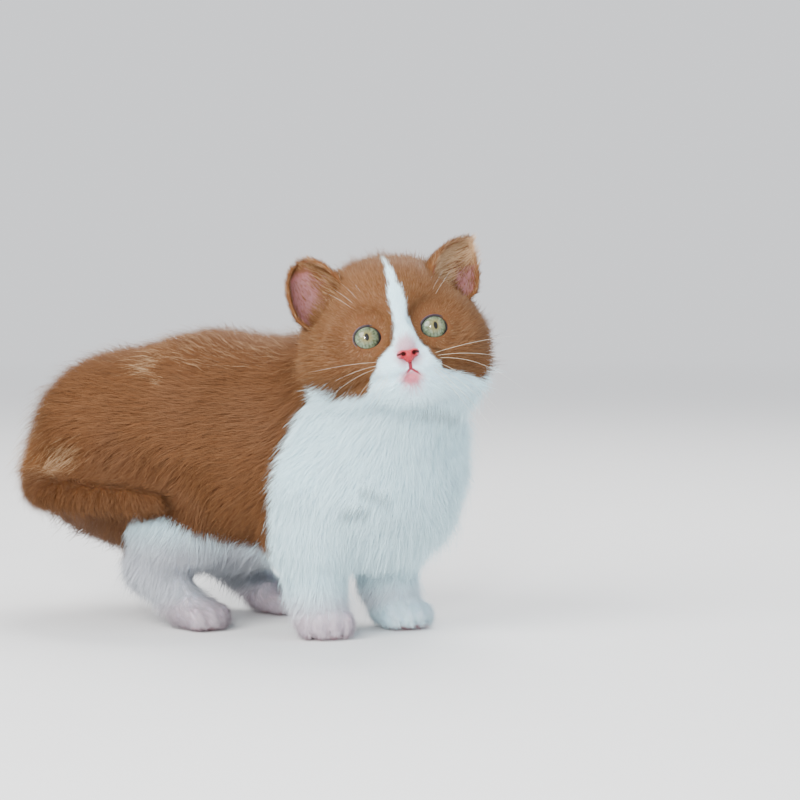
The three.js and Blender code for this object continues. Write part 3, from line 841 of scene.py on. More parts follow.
def shade_at(points, shares):
    """The coat's shade: darker on the body and the tail, with painted shade in its folds and low over
    the hind leg and the belly, darker at the head's dark spots, and painted light where the tail lies on the
    trunk."""
    shade = 1 - 0.1 * (1 - smooth_step(0.3, 0.7, shares["head"])) - 0.12 * shares["tail"]
    # Painted shade along each fold of the coat.
    for start, end, radius, strength in FOLD_SHADE:
        shade *= 1 - strength * smooth_step(radius, 0, rod(start, end, 0, 0)(points))
    # Painted shadow low on the hind leg and the belly.
    shade *= 1 - 0.24 * smooth_step(52, 36, points[:, 2]) * smooth_step(44, 26, points[:, 0])
    # Painted light in the valley where the tail lies on the trunk, against the shade there.
    shade *= 1 + 2.2 * shares["trunk"] * shares["tail"]
    place = head_place(points)
    for centre, radius, strength in DARK_SPOTS:
        shade *= 1 - strength * smooth_step(radius, 0, np.linalg.norm(place - centre, axis=-1))
    return shade * (1 + 0.04 * noise(points, 12, 41) + 0.03 * noise(points, 4, 42))


def regional_coat(points, shares, coat):
    """Turns the coat's sizes on the head, the rump and between the forelegs into those of each region."""
    place = head_place(points)
    on_head = shares["head"]
    face, cheek = face_share(place), cheek_share(place)
    on_muzzle = smooth_step(22, 28, place[:, 0]) * smooth_step(-6, -12, place[:, 2])
    length = (1 - 0.5 * face + 0.5 * cheek) * (1 - 0.35 * on_muzzle)
    length = np.maximum(length, 1.5 * smooth_step(-24, -31, place[:, 2]))
    near_eye = smooth_step(12.5, 9, from_eyes(place))
    length *= 1 - 0.5 * near_eye
    crown = on_head * smooth_step(14, 26, place[:, 2])
    rump = smooth_step(-60, -90, points[:, 0]) * shares["trunk"]
    between = smooth_step(50, 60, points[:, 0]) * smooth_step(64, 54, points[:, 2])
    between *= smooth_step(26, 18, np.abs(points[:, 1] - 4)) * (1 - shares["paw"])
    between *= smooth_step(30, 38, points[:, 2])
    coat["length"] *= (1 + (length - 1) * on_head) * (1 + 0.2 * crown) * (1 + 0.35 * rump + 0.45 * between)
    coat["count"] *= 1 + on_head * (0.9 * face + 0.9 * near_eye)
    coat["width"] *= 1 - 0.2 * on_head * face
    coat["rise"] *= 1 - 0.25 * on_head * face + 0.3 * crown


def bare_share(points):
    """Where no hair grows: on the eyes, the lids, the nose, the line of the mouth and the soles."""
    place = head_place(points)
    bare = np.zeros(len(points))
    for side in SIDES:
        local = window_place(points, side)
        wide, tall = EYE_WINDOWS[side]
        window = np.hypot(local[:, 1] / (wide + 0.5), local[:, 2] / (tall + 0.5))
        bare = np.maximum(bare, (window < 1) & (local[:, 0] > 0))
    nose = (place - NOSE) @ turned(0, NOSE_PITCH, 0)
    near_nose = np.hypot(nose[:, 1] / 4.4, (nose[:, 2] + 0.3) / 2.8)
    bare = np.maximum(bare, (near_nose < 1) & (place[:, 0] > 24))
    bare = np.maximum(bare, smooth_step(1.2, 0.6, from_mouth(points)) * mouth_fade(points))
    return np.maximum(bare, points[:, 2] < SOLE + 0.2)


def pink_share(points):
    """Where pink skin shows through thin hair: nose, lips, chin, feet and soles. On the feet and low on
    the hind leg the pink is partly painted warm light and shade.
    """
    place = head_place(points)
    away = np.linalg.norm((place - NOSE - [0, 0, 1]) * [1, 1, 0.8], axis=-1)
    pink = 0.7 * smooth_step(7.0, 3.5, away)
    below = np.linalg.norm((place - np.array([32, -0.3, -24.8])) * [1, 0.8, 1.1], axis=-1)
    pink = np.maximum(pink, 1.0 * smooth_step(5.4, 1.6, below))
    # On the feet the pink is partly painted warm light, and less on the left forepaw, whose light is cool.
    left_forepaw = smooth_step(22, 14, np.linalg.norm(points - np.array(FORELEGS[1]["paw"]), axis=-1))
    feet = (0.55 - 0.45 * left_forepaw) * smooth_step(28, 8, points[:, 2])
    # Pink low on the hind leg and the belly: partly pink skin, partly painted warm shade.
    feet = np.maximum(feet, 0.36 * smooth_step(50, 34, points[:, 2]) * smooth_step(40, 20, points[:, 0]))
    return np.maximum(pink, np.maximum(feet, 0.9 * smooth_step(3.0, 1.0, points[:, 2])))


def ear_coat(name):
    """An ear's points in the kitten's axes, its faces and the coat's values on it."""
    sign, ear = SIDES[name], EARS[name]
    flap, faces, inner, up, column = ear_flap(name)
    toward = (1 - sign * column) / 2
    rim = smooth_step(0.74, 0.95, np.abs(column))
    brow = inner * smooth_step(ear["covered"], ear["covered"] + 0.3, toward)
    if sign > 0:
        brow = np.maximum(brow, inner * smooth_step(0.5, 0.75, up))
    tuft = np.maximum(rim, smooth_step(0.82, 0.97, up))
    dense = 4.6 * (1 - inner) + inner * (1.0 + 4 * tuft * (1 - brow) + 3.6 * brow)
    bare = inner * (1 - rim) * smooth_step(0.97, 0.8, up)
    turn = HEAD_TURN @ ear_turn(name)
    across = (inner * (0.35 + 0.35 * brow))[:, None] * turn[:, 1] * sign
    coat = {
        "length": 3.2 - 0.2 * inner + 5.5 * brow * (1 - 0.5 * up),
        "width": 0.28 - 0.04 * inner,
        "rise": 24 + 4.0 * inner,
        "count": dense * (up > 0.12),
        "flow": turn[:, 2] + across + 0.4 * brow[:, None] * turn[:, 0],
        "marking": np.full(len(flap), -5.0),
        "pale": 0.05 * inner + 0.1 * rim + ear["cream"] * brow,
        "pink": 0.7 * bare * (1 - brow) + ear["rosy"] * brow,
        "ear": bare,
        "region": np.full(len(flap), float(len(PARTS))),
    }
    return from_head(flap), faces, coat


class MakeSkin(bpy.types.Operator):
    """Makes the skin in one piece from the nose to the tail, with both ears"""

    bl_idname = "kitten.make_skin"
    bl_label = "Make Skin"

    def execute(self, context):
        points, faces = skin_shape()
        values = values_at(points)
        shares = shares_at(points, values)
        coat = {key: mixed(shares, key) for key in ("length", "width", "rise", "count")}
        regional_coat(points, shares, coat)
        coat["count"] *= 1 - bare_share(points)
        coat["flow"] = flow_at(points, shares_at(points, values, 1.5))
        coat["marking"] = marking_at(points, shares)
        coat["pale"], coat["pink"] = pale_at(points), pink_share(points)
        coat["ear"] = np.zeros(len(points))
        coat["region"] = np.array(list(shares.values())).argmax(0)
        for name in SIDES:
            flap, flap_faces, own = ear_coat(name)
            faces += [tuple(corner + len(points) for corner in face) for face in flap_faces.tolist()]
            points = np.vstack([points, flap])
            coat = {key: np.concatenate([coat[key], own[key]]) for key in coat}
        coat["mouth"] = smooth_step(0.75, 0.35, from_mouth(points)) * mouth_fade(points)
        coat["white"] = smooth_step(-0.8, 0.8, coat["marking"])
        mesh = mesh_of("skin", points, *([f for f in faces if len(f) == corners] for corners in (4, 3)))
        for key, value in coat.items():
            set_values(mesh, key, value)
        flesh = [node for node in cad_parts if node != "nose" and not node.startswith("eye_")]
        show("skin", mesh, skin_finish(), flesh)
        return {"FINISHED"}


# Finishes. Constants are set on the shader's own sockets, and patterns come from nodes.


def linear(red, green, blue):
    """A colour as seen on a screen, from 0 to 255, as the shader's own numbers."""
    shares = [value / 255 for value in (red, green, blue)]
    return tuple(((s + 0.055) / 1.055) ** 2.4 if s > 0.04045 else s / 12.92 for s in shares)


class Nodes:
    """Adds nodes to a material and links them by the names of their sockets."""

    def __init__(self, name, roughness, **constants):
        self.material = bpy.data.materials.new(name)
        self.material.use_nodes = True
        self.tree = self.material.node_tree
        self.shader = self.tree.nodes["Principled BSDF"]
        self.shader.inputs["Roughness"].default_value = roughness
        for socket, value in constants.items():
            self.shader.inputs[socket.replace("_", " ")].default_value = value

    def add(self, kind, inputs=None, **settings):
        node = self.tree.nodes.new("ShaderNode" + kind)
        for name, value in settings.items():
            setattr(node, name, value)
        for name, value in (inputs or {}).items():
            self.put(node.inputs[name], value)
        return node

    def put(self, socket, value):
        if isinstance(value, bpy.types.NodeSocket):
            self.tree.links.new(value, socket)
        elif socket.type == "RGBA":
            socket.default_value = (*value, 1)
        else:
            socket.default_value = value

    def value(self, name):
        return self.add("Attribute", attribute_name=name).outputs["Fac"]

    def place(self):
        return self.add("TexCoord").outputs["Object"]

    def mix(self, share, one, other):
        return self.add("Mix", {0: share, 6: one, 7: other}, data_type="RGBA").outputs[2]

    def math(self, operation, *values):
        return self.add("Math", dict(enumerate(values)), operation=operation).outputs[0]

    def distance(self, one, other):
        squares = [self.math("MULTIPLY", value, value) for value in (one, other)]
        return self.math("SQRT", self.math("ADD", *squares))

    def noise(self, scale, detail=2.0, vector=None):
        inputs = {"Vector": vector or self.place(), "Scale": scale, "Detail": detail}
        return self.add("TexNoise", inputs).outputs["Fac"]

    def ramp(self, value, low, high, to_low=0.0, to_high=1.0):
        inputs = {"Value": value, "From Min": low, "From Max": high, "To Min": to_low, "To Max": to_high}
        return self.add("MapRange", inputs).outputs["Result"]

    def bump(self, height, strength, distance):
        inputs = {"Height": height, "Strength": strength, "Distance": distance}
        return self.add("Bump", inputs).outputs["Normal"]

    def finish(self, color, normal=None):
        self.put(self.shader.inputs["Base Color"], color)
        if normal is not None:
            self.put(self.shader.inputs["Normal"], normal)
        return self.material


def skin_finish():
    colours = bpy.context.scene.kitten_colours
    nodes = Nodes("skin", 0.7, Specular_IOR_Level=0.25, Subsurface_Weight=0.3, Subsurface_Scale=0.001)
    brown = nodes.mix(nodes.noise(160), colours.brown_root, colours.brown_tip)
    coat = nodes.mix(nodes.value("white"), brown, colours.cool_lit_white_root)
    mottled = nodes.mix(nodes.noise(300, 3), colours.pink, colours.pale_pink)
    color = nodes.mix(nodes.value("pink"), coat, mottled)
    ear = nodes.mix(nodes.noise(220, 3), colours.ear, colours.ear_light)
    color = nodes.mix(nodes.value("ear"), color, ear)
    color = nodes.mix(nodes.value("mouth"), color, colours.mouth)
    return nodes.finish(color, nodes.bump(nodes.noise(1400, 3), 0.35, 0.0006))


def coat_finish():
    colours = bpy.context.scene.kitten_colours
    nodes = Nodes("coat", 0.65, Specular_IOR_Level=0.2)
    tip = nodes.value("tip")
    brown = nodes.mix(tip, colours.brown_root, colours.brown_tip)
    cream = nodes.mix(tip, colours.brown_tip, colours.cream)
    brown = nodes.mix(nodes.value("pale"), brown, cream)
    white = nodes.mix(tip, colours.cool_lit_white_root, colours.cool_lit_white_tip)
    color = nodes.mix(nodes.value("white"), brown, white)
    color = nodes.mix(nodes.value("pink"), color, colours.pale_pink)
    broad = nodes.ramp(nodes.noise(28, 3), 0.3, 0.7, 0.94, 1.06)
    # Each tuft's own tone, times the painted shade and light of its place.
    tone = nodes.math("MULTIPLY", nodes.value("tone"), broad)
    inputs = {"Color": color, "Value": tone, "Hue": 0.5, "Saturation": 1.0, "Fac": 1.0}
    return nodes.finish(nodes.add("HueSaturation", inputs).outputs["Color"])


# The coat: tufts rooted on the skin.

COAT_PIECES = (
    "face", "crown_right", "crown_left", "ears", "neck_right", "neck_left",
    "back", "flank_right", "flank_left", "belly", "rump", "forelegs", "hind_legs", "paws", "tail",
)


def piece_of(points, regions):
    """Which piece of the coat each root belongs to, by its region and place."""
    place = head_place(points)
    names = np.array([*PARTS, "ears"])[regions.astype(int)]
    on_trunk, on_neck, on_head = names == "trunk", names == "neck", names == "head"
    right, high = points[:, 1] < 4, points[:, 2] > 104
    owned = {
        "flank_right": on_trunk & right,
        "flank_left": on_trunk & ~right,
        "back": on_trunk & high,
        "belly": on_trunk & (points[:, 2] < 46),
        "rump": on_trunk & (points[:, 0] < -62) & ~high,
        "neck_right": on_neck & right,
        "neck_left": on_neck & ~right,
        "forelegs": names == "foreleg",
        "hind_legs": names == "hind_leg",
        "paws": names == "paw",
        "tail": names == "tail",
        "ears": names == "ears",
        "crown_right": on_head & (place[:, 1] < 0),
        "crown_left": on_head & (place[:, 1] >= 0),
        "face": on_head & (face_share(place) > 0.45),
    }
    piece = np.full(len(points), "", dtype="U16")
    for name, own in owned.items():
        piece[own] = name
    return piece


# Pieces of short hair, which have no guard tufts, and pieces whose colour is uneven.
SHORT_PIECES = ("face", "paws", "ears")
HEAD_PIECES = ("face", "crown_right", "crown_left")

# The two kinds of tuft. Each has the numbers of the points of its sides and of those that face the
# skin, how far up each point is, and the points' places on the tuft's patch of the bake map.
STRAIGHT = {
    "sides": ((0, 1, 3), (1, 2, 3), (2, 0, 3), (2, 1, 0)),
    "under": ((2, 0, 3),),
    "along": (0, 0, 0, 1),
    "patch": ((-0.5, -0.5), (0, -0.2), (0.5, -0.5), (0, 0.5)),
}
BENT = {
    "sides": ((0, 1, 4, 3), (1, 2, 5, 4), (2, 0, 3, 5), (3, 4, 6), (4, 5, 6), (5, 3, 6), (2, 1, 0)),
    "under": ((2, 0, 3, 5), (5, 3, 6)),
    "along": (0, 0, 0, 0.5, 0.5, 0.5, 1),
    "patch": ((-0.5, -0.5), (0, -0.5), (0.5, -0.5), (-0.5, 0), (0, 0), (0.5, 0), (0, 0.5)),
}


def unwrapped(points, triangles):
    """An unwrap of some of the skin's triangles: the flat place of each corner."""
    mesh = mesh_of("unwrap", points, triangles)
    piece = bpy.data.objects.new("unwrap", mesh)
    bpy.context.scene.collection.objects.link(piece)
    bpy.context.view_layer.objects.active = piece
    piece.select_set(True)
    bpy.ops.object.mode_set(mode="EDIT")
    bpy.ops.mesh.select_all(action="SELECT")
    bpy.ops.uv.smart_project(angle_limit=math.radians(75), island_margin=0.004)
    bpy.ops.object.mode_set(mode="OBJECT")
    flat = read(mesh.uv_layers.active.data, "uv", 2)
    bpy.data.objects.remove(piece)
    bpy.data.meshes.remove(mesh)
    return flat.reshape(-1, 3, 2).astype(float)


def lay_tufts(values, random, bent):
    """The points and shading normals of tufts: three at the root, three at a bend, one at the tip.
    The last result is the shading normal of each tuft's underside."""
    root, normal = values["root"], values["normal"]
    count = len(root)
    swirl = np.radians(14 * noise(root, 14, 21) + 9 * noise(root, 5, 22) + random.normal(0, 10, count))
    flow, back = values["flow"], np.array([-1.0, 0, -0.3])
    flow = flow - (flow * normal).sum(-1, keepdims=True) * normal
    spare = back - (normal @ back)[:, None] * normal
    flow = unit(flow + spare * 0.05)
    across = np.cross(normal, flow)
    flow = flow * np.cos(swirl)[:, None] + across * np.sin(swirl)[:, None]
    length = values["length"] * random.uniform(0.7, 1.2, count) * (1 + 0.15 * noise(root, 7, 23))
    rise = np.radians(values["rise"] + random.normal(0, 7, count) + 7 * noise(root, 4, 24))
    rise = np.clip(rise, 0.08, 1.3)[:, None]
    start = root - normal * ROOT_DEPTH
    first = flow * np.cos(rise) + normal * np.sin(rise)
    bend = start + first * (length * 0.5 + ROOT_DEPTH)[:, None]
    second = flow * np.cos(rise * 0.4) + normal * np.sin(rise * 0.4)
    tip = bend + (second if bent else first) * (length * 0.5)[:, None]
    shifts = np.stack([noise(root, 3, 31 + axis) for axis in range(3)], -1)
    clump = np.floor((root + 1.2 * shifts) / CLUMP).astype(int)
    member = np.unique(clump, axis=0, return_inverse=True)[1].ravel()
    size = np.bincount(member)
    middle = np.stack([np.bincount(member, tip[:, axis]) / size for axis in range(3)], -1)
    tip += (middle[member] - tip) * (0.05 + 0.01 * values["length"])[:, None]
    width = (values["width"] * random.uniform(0.8, 1.2, count))[:, None]
    way = unit(tip - start)
    side = unit(np.cross(normal, way))
    ridge = np.cross(way, side)
    rings = [(start, 0.8), (bend, 0.85)] if bent else [(start, 1.0)]
    points, shading = [], []
    for ring, share in rings:
        for step, lift in ((0.5, 0), (0, 0.3), (-0.5, 0)):
            aside = side * step + ridge * lift
            points.append(ring + aside * width * share)
            shading.append(unit(normal * 0.8 + unit(aside) * 0.35 + ridge * 0.15))
    points.append(tip)
    shading.append(unit(normal * 0.9 + ridge * 0.2))
    points, shading = np.stack(points, 1), np.stack(shading, 1)
    points[..., 2] = np.maximum(points[..., 2], FLOOR_GAP)
    return points, shading, unit(way * 0.8 - ridge * 0.3 + normal * 0.3)


class Roots:
    """Where the coat is rooted: the skin's triangles with their values, and tufts drawn on them."""

    keys = ("length", "width", "rise", "count", "pale", "pink", "region", "flow")

    def __init__(self, skin, density):
        skin.calc_loop_triangles()
        self.triangles = read(skin.loop_triangles, "vertices", 3, np.int32)
        self.points = read(skin.vertices, "co", 3).astype(float) / MM - START
        self.normals = read(skin.vertices, "normal", 3).astype(float)
        self.values = {key: get_values(skin, key) for key in self.keys}
        edges = self.points[self.triangles]
        turned_to = np.cross(edges[:, 1] - edges[:, 0], edges[:, 2] - edges[:, 0])
        area = np.linalg.norm(turned_to, axis=1) / 2
        hidden = smooth_step(-0.5, -0.85, unit(turned_to)[:, 2])
        count = self.values["count"][self.triangles].mean(1)
        self.number = area * count * density * (1 - 0.55 * hidden)
        self.owner = piece_of(edges.mean(1), self.values["region"][self.triangles[:, 0]])

    def drawn(self, own, flat, share, random):
        """Roots and values of tufts drawn at random on some triangles, as many as a share says."""
        tufts = random.poisson(self.number[own] * share)
        picked = np.repeat(np.arange(len(own)), tufts)
        ring = self.triangles[own[picked]]
        corner = random.dirichlet((1, 1, 1), len(picked))

        def at_root(array):
            return (array * (corner if array.ndim == 2 else corner[..., None])).sum(1)

        local = {key: at_root(self.values[key][ring]) for key in self.keys}
        local["root"], local["normal"] = at_root(self.points[ring]), unit(at_root(self.normals[ring]))
        local["flat"] = at_root(flat[picked])
        return local


class MakeCoat(bpy.types.Operator):
    """Grows the coat: tufts that follow the lie of the hair, in a piece for each region"""

    bl_idname = "kitten.make_coat"
    bl_label = "Make Coat"

    def execute(self, context):
        sizes = context.scene.kitten_coat
        roots = Roots(bpy.data.objects["skin"].data, sizes.density)
        finish = coat_finish()
        random = np.random.default_rng(sizes.seed)
        for name in COAT_PIECES:
            own = np.nonzero(roots.owner == name)[0]
            if not len(own):
                raise RuntimeError(f"no skin for the coat of the {name}")
            flat = unwrapped(roots.points, roots.triangles[own])
            parts = []
            for bent, share in ((False, 1.0), (True, 0 if name in SHORT_PIECES else sizes.guard)):
                if share:
                    local = roots.drawn(own, flat, share, random)
                    parts.append((*self.grown(local, sizes, random, bent), local, bent))
            self.show_piece(name, parts, random, finish)
        return {"FINISHED"}

    def grown(self, local, sizes, random, bent):
        """Grows tufts on their roots, and adds their marking and their shade, with painted light on the hair
        inside the ears, to their values.
        """
        local["length"] *= sizes.length * (GUARD_LENGTH if bent else 1)
        local["width"] *= sizes.width * (GUARD_WIDTH if bent else 1)
        local["rise"] += GUARD_RISE if bent else 0
        tufts = lay_tufts(local, random, bent)
        middle = local["root"] * 0.45 + tufts[0][:, -1] * 0.55
        shares = shares_at(middle, values_at(middle))
        in_ear = local["region"] > len(PARTS) - 0.5
        local["marking"] = np.where(in_ear, -5, marking_at(middle, shares))
        # Painted light on the hair inside the ears, against the shade of the cup.
        local["shade"] = shade_at(middle, shares) * np.where(in_ear, 1.02 + 0.45 * local["pale"], 1)
        return tufts

    def show_piece(self, name, parts, random, finish):
        """Makes one piece from its parts: straight tufts, and bent longer ones that stand out."""
        points, flats = [], []
        faces, shading = {3: [], 4: []}, {3: [], 4: []}
        kept = {key: [] for key in ("tip", "white", "pale", "pink", "tone")}
        offset = 0
        for tuft, normals, under, local, bent in parts:
            kind = BENT if bent else STRAIGHT
            count, per = tuft.shape[:2]
            first = offset + np.arange(count)[:, None] * per
            for side in kind["sides"]:
                corners = len(side)
                faces[corners].append(first + np.array(side))
                facing_skin = side in kind["under"]
                own = np.repeat(under[:, None], corners, 1) if facing_skin else normals[:, side]
                shading[corners].append(own.reshape(-1, 3))
            marking = local["marking"] + random.normal(0, 0.45, count)
            loose = random.uniform(0, 1, count)
            uneven = 3 if name in HEAD_PIECES else 1
            is_pale = loose < local["pale"] * (GUARD_PALE if bent else 1)
            pale = np.where(is_pale, 0.75, 0.1 * uneven * (1 - loose) ** 2)
            # A random tone per tuft, times the painted shade and light of its place.
            tone = random.normal(1, 0.02 + 0.02 * uneven, count) * local["shade"]
            kept["tip"].append(np.tile(kind["along"], count))
            kept["white"].append(np.repeat(smooth_step(-0.5, 0.5, marking), per))
            kept["pale"].append(np.repeat(pale, per))
            kept["pink"].append(np.repeat(0.95 * local["pink"] * (marking > 0), per))
            kept["tone"].append(np.repeat(tone, per))
            points.append(tuft.reshape(-1, 3))
            flats.append((local["flat"][:, None] + PATCH * np.array(kind["patch"])).reshape(-1, 2))
            offset += count * per
        faces = [np.concatenate(some) for some in faces.values() if some]
        made = sum(len(some) * (some.shape[1] - 2) for some in faces)
        if made >= PIECE_LIMIT:
            raise RuntimeError(f"the coat of the {name} has {made} triangles")
        mesh = mesh_of("coat_" + name, np.concatenate(points), *faces)
        for key, value in kept.items():
            set_values(mesh, key, np.concatenate(value))
        corners = read(mesh.loops, "vertex_index", 1, np.int32)[:, 0]
        layer = mesh.uv_layers.new(name="OFBake")
        layer.data.foreach_set("uv", np.concatenate(flats)[corners].astype(np.float32).ravel())
        mesh.normals_split_custom_set(np.concatenate(shading[3] + shading[4]))
        show("coat_" + name, mesh, finish)


# Eyes, lids and nose.


def eye_finish():
    colours = bpy.context.scene.kitten_colours
    nodes = Nodes("iris", 0.3, Coat_Weight=0.8, Coat_Roughness=0.02, Specular_IOR_Level=0.1)
    place = nodes.add("Attribute", attribute_name="iris_place").outputs["Vector"]
    parts = nodes.add("SeparateXYZ", {"Vector": place})
    x, y = parts.outputs["X"], parts.outputs["Y"]
    away = nodes.distance(x, y)
    inputs = {"X": nodes.math("DIVIDE", x, away), "Y": nodes.math("DIVIDE", y, away), "Z": away}
    around = nodes.add("CombineXYZ", inputs).outputs[0]
    threads = nodes.ramp(nodes.noise(5, 4, around), 0.35, 0.65)
    iris = nodes.mix(threads, colours.iris, colours.iris_light)
    uneven = nodes.math("MULTIPLY_ADD", nodes.noise(2.5, 2, around), 0.35, away)
    inner = nodes.ramp(uneven, 0.35, 0.75, 1.0, 0.0)
    iris = nodes.mix(nodes.math("MULTIPLY", inner, 0.85), iris, colours.iris_inner)
    edge = nodes.ramp(nodes.math("MULTIPLY_ADD", nodes.noise(2.5, 2, around), 0.15, away), 0.8, 1.02)
    iris = nodes.mix(edge, iris, colours.iris_rim)
    oval = nodes.distance(nodes.math("DIVIDE", x, 0.14), nodes.math("DIVIDE", y, 0.25))
    pupil = nodes.ramp(oval, 0.85, 1.15, 1.0, 0.0)
    color = nodes.mix(pupil, iris, (0.003, 0.003, 0.003))
    return nodes.finish(color)


class MakeEyes(bpy.types.Operator):
    """Makes both eyeballs, with a bulging cornea over a threaded iris and an upright pupil"""

    bl_idname = "kitten.make_eyes"
    bl_label = "Make Eyes"

    def execute(self, context):
        eyes = context.scene.kitten_eyes
        finish = eye_finish()
        rings, columns = 40, 48
        for name, sign in SIDES.items():
            points, iris = [], []
            for ring in range(rings + 1):
                polar = math.pi * (ring / rings) ** 1.25
                bulge = eyes.cornea / MM * float(smooth_step(0.75, 0.15, np.array(polar)))
                radius, aside = EYE_RADIUS + bulge, math.sin(polar)
                for column in range(columns):
                    turn = 2 * math.pi * column / columns
                    across, up = radius * aside * math.cos(turn), radius * aside * math.sin(turn)
                    points.append((radius * math.cos(polar), across, up))
                    iris.append((-aside * math.cos(turn), aside * math.sin(turn), 0))
            quads = []
            for ring in range(rings):
                for column in range(columns):
                    a, b = ring * columns + column, ring * columns + (column + 1) % columns
                    quads.append((a, a + columns, b + columns, b))
            gaze = turned(0, eyes.gaze_down, eyes.gaze_left + sign * (EYE_OUTWARD + eyes.gaze_out))
            place = from_head(np.array(points) @ gaze.T + eye_centre(sign))
            mesh = mesh_of("eyeball_" + name, place, quads)
            set_values(mesh, "iris_place", np.array(iris) * (EYE_RADIUS / (eyes.iris / MM)))
            show("eyeball_" + name, mesh, finish, ["eye_" + name])
        return {"FINISHED"}


def lid_finish():
    colours = bpy.context.scene.kitten_colours
    nodes = Nodes("lid", 0.45, Specular_IOR_Level=0.4)
    out = nodes.value("out")
    upper = nodes.value("upper")
    lid = nodes.mix(upper, colours.lid_low, colours.lid)
    edge = nodes.math("MULTIPLY_ADD", upper, -0.25, out)
    color = nodes.mix(nodes.ramp(edge, 0.2, 0.5), colours.lid_edge, lid)
    fur = nodes.mix(upper, colours.brown_tip, colours.lid_crease)
    color = nodes.mix(nodes.ramp(out, 0.75, 1.0), color, fur)
    return nodes.finish(color, nodes.bump(nodes.noise(2500, 2), 0.3, 0.0003))


# The lids' profile from the opening outward: how far aside it goes over the eyeball, and how high.
LID_PROFILE = (
    (-0.25, -0.4), (-0.2, 0.1), (-0.08, 0.45), (0.1, 0.7), (0.35, 0.82), (0.6, 0.76),
    (0.9, 0.5), (1.25, 0.1), (1.6, -0.5),
)


class MakeLids(bpy.types.Operator):
    """Makes the lids round each eye: a rounded lip on the eyeball that sinks into the skin"""

    bl_idname = "kitten.make_lids"
    bl_label = "Make Lids"

    def execute(self, context):
        rows, columns = len(LID_PROFILE), 80
        finish = lid_finish()
        for name, sign in SIDES.items():
            points, out, upper = [], [], []
            wide, tall = EYE_WINDOWS[name]
            left, lift = EYE_SHIFTS[name]
            for column in range(columns):
                turn = 2 * math.pi * column / columns
                inward, up = -sign * math.cos(turn), math.sin(turn)
                corner = 1 + 0.07 * max(0, inward) ** 8
                lower = 1.1 * max(0, inward) ** 5
                y, z = wide * corner * math.cos(turn) + left, tall * up - lower + lift
                reach = math.hypot(y, z)
                for aside, height in LID_PROFILE:
                    height += 0.3 * max(up + 0.4 * inward, 0) * (aside > -0.1)
                    polar = math.asin(min(reach / EYE_RADIUS, 1)) + aside / EYE_RADIUS
                    radius = EYE_RADIUS + height
                    sideways = radius * math.sin(polar)
                    points.append((radius * math.cos(polar), sideways * y / reach, sideways * z / reach))
                    out.append(aside)
                    upper.append(max(up + 0.25 * inward, 0) ** 0.5)
            quads = []
            for column in range(columns):
                for row in range(rows - 1):
                    a, b = column * rows + row, (column + 1) % columns * rows + row
                    quads.append((a, b, b + 1, a + 1))
            place = from_head(np.array(points) @ eye_turn(sign).T + eye_centre(sign))
            mesh = mesh_of("lids_" + name, place, quads)
            set_values(mesh, "out", np.array(out))
            set_values(mesh, "upper", np.array(upper))
            show("lids_" + name, mesh, finish)
        return {"FINISHED"}


def nose_finish():
    colours = bpy.context.scene.kitten_colours
    depth = {"Subsurface_Weight": 0.15, "Subsurface_Radius": (1.0, 0.35, 0.2), "Subsurface_Scale": 0.001}
    nodes = Nodes("nose leather", 0.45, Specular_IOR_Level=0.35, **depth)
    pattern = nodes.add("TexVoronoi", {"Vector": nodes.place(), "Scale": 2600.0})
    color = nodes.mix(nodes.noise(420), colours.nose, colours.nose_light)
    color = nodes.mix(nodes.value("furred"), color, colours.pale_pink)
    # Painted shade: the nostrils' hollows and slits go near black.
    color = nodes.mix(nodes.value("dark"), color, (0.06, 0.004, 0.004))
    return nodes.finish(color, nodes.bump(pattern.outputs["Distance"], 0.4, 0.0003))


def nostril_depth(points):
    """How far each point of the nose is from the nearest nostril or its slit."""
    depth = []
    for sign in SIDES.values():
        depth.append(ball((2.4, sign * 2.2, -0.25), (1.9, 0.85, 0.75), turned(sign * 20, 0, 0))(points))
        depth.append(rod((2.6, sign * 2.6, -0.2), (0.2, sign * 4.6, 0.15), 0.45, 0.25)(points))
    return np.minimum.reduce(depth)


def nose_field(points):
    """The nose leather, in the nose's own axes."""
    wings = [ball((-0.6, s * 2.5, 0.4), (3, 2.3, 1.7))(points) for s in SIDES.values()]
    wedge = ball((-0.2, 0, -1), (3.1, 1.9, 2.4))(points)
    body = joined(1.5, *wings, wedge)
    body = -joined(0.4, -body, nostril_depth(points))
    groove = rod((3.3, 0, 1), (2.9, 0, -4), 0.3, 0.3)(points)
    return -joined(0.4, -body, groove)


class MakeNose(bpy.types.Operator):
    """Makes the nose leather with its nostrils and the groove between them"""

    bl_idname = "kitten.make_nose"
    bl_label = "Make Nose"

    def execute(self, context):
        points, quads = net_of(nose_field, (-5, -6.5, -5), (5, 6.5, 4), NOSE_CELL)
        points = on_surface(nose_field, points, 2)
        place = from_head(points @ turned(0, NOSE_PITCH, 0).T + NOSE)
        mesh = mesh_of("nose_leather", place, quads)
        # Painted shade in and round the nostrils' hollows.
        set_values(mesh, "dark", smooth_step(0.3, 0.0, nostril_depth(points)))
        top = smooth_step(0.6, 1.9, points[:, 2]) + smooth_step(3.0, 4.4, np.abs(points[:, 1]))
        set_values(mesh, "furred", np.clip(top, 0, 1))
        show("nose_leather", mesh, nose_finish(), ["nose"])
        return {"FINISHED"}


# Whiskers, and the long hairs over the eyes.


def hair_finish():
    nodes = Nodes("whisker", 0.35, Specular_IOR_Level=0.5)
    color = nodes.mix(nodes.value("tip"), linear(225, 205, 175), linear(250, 248, 240))
    return nodes.finish(color)


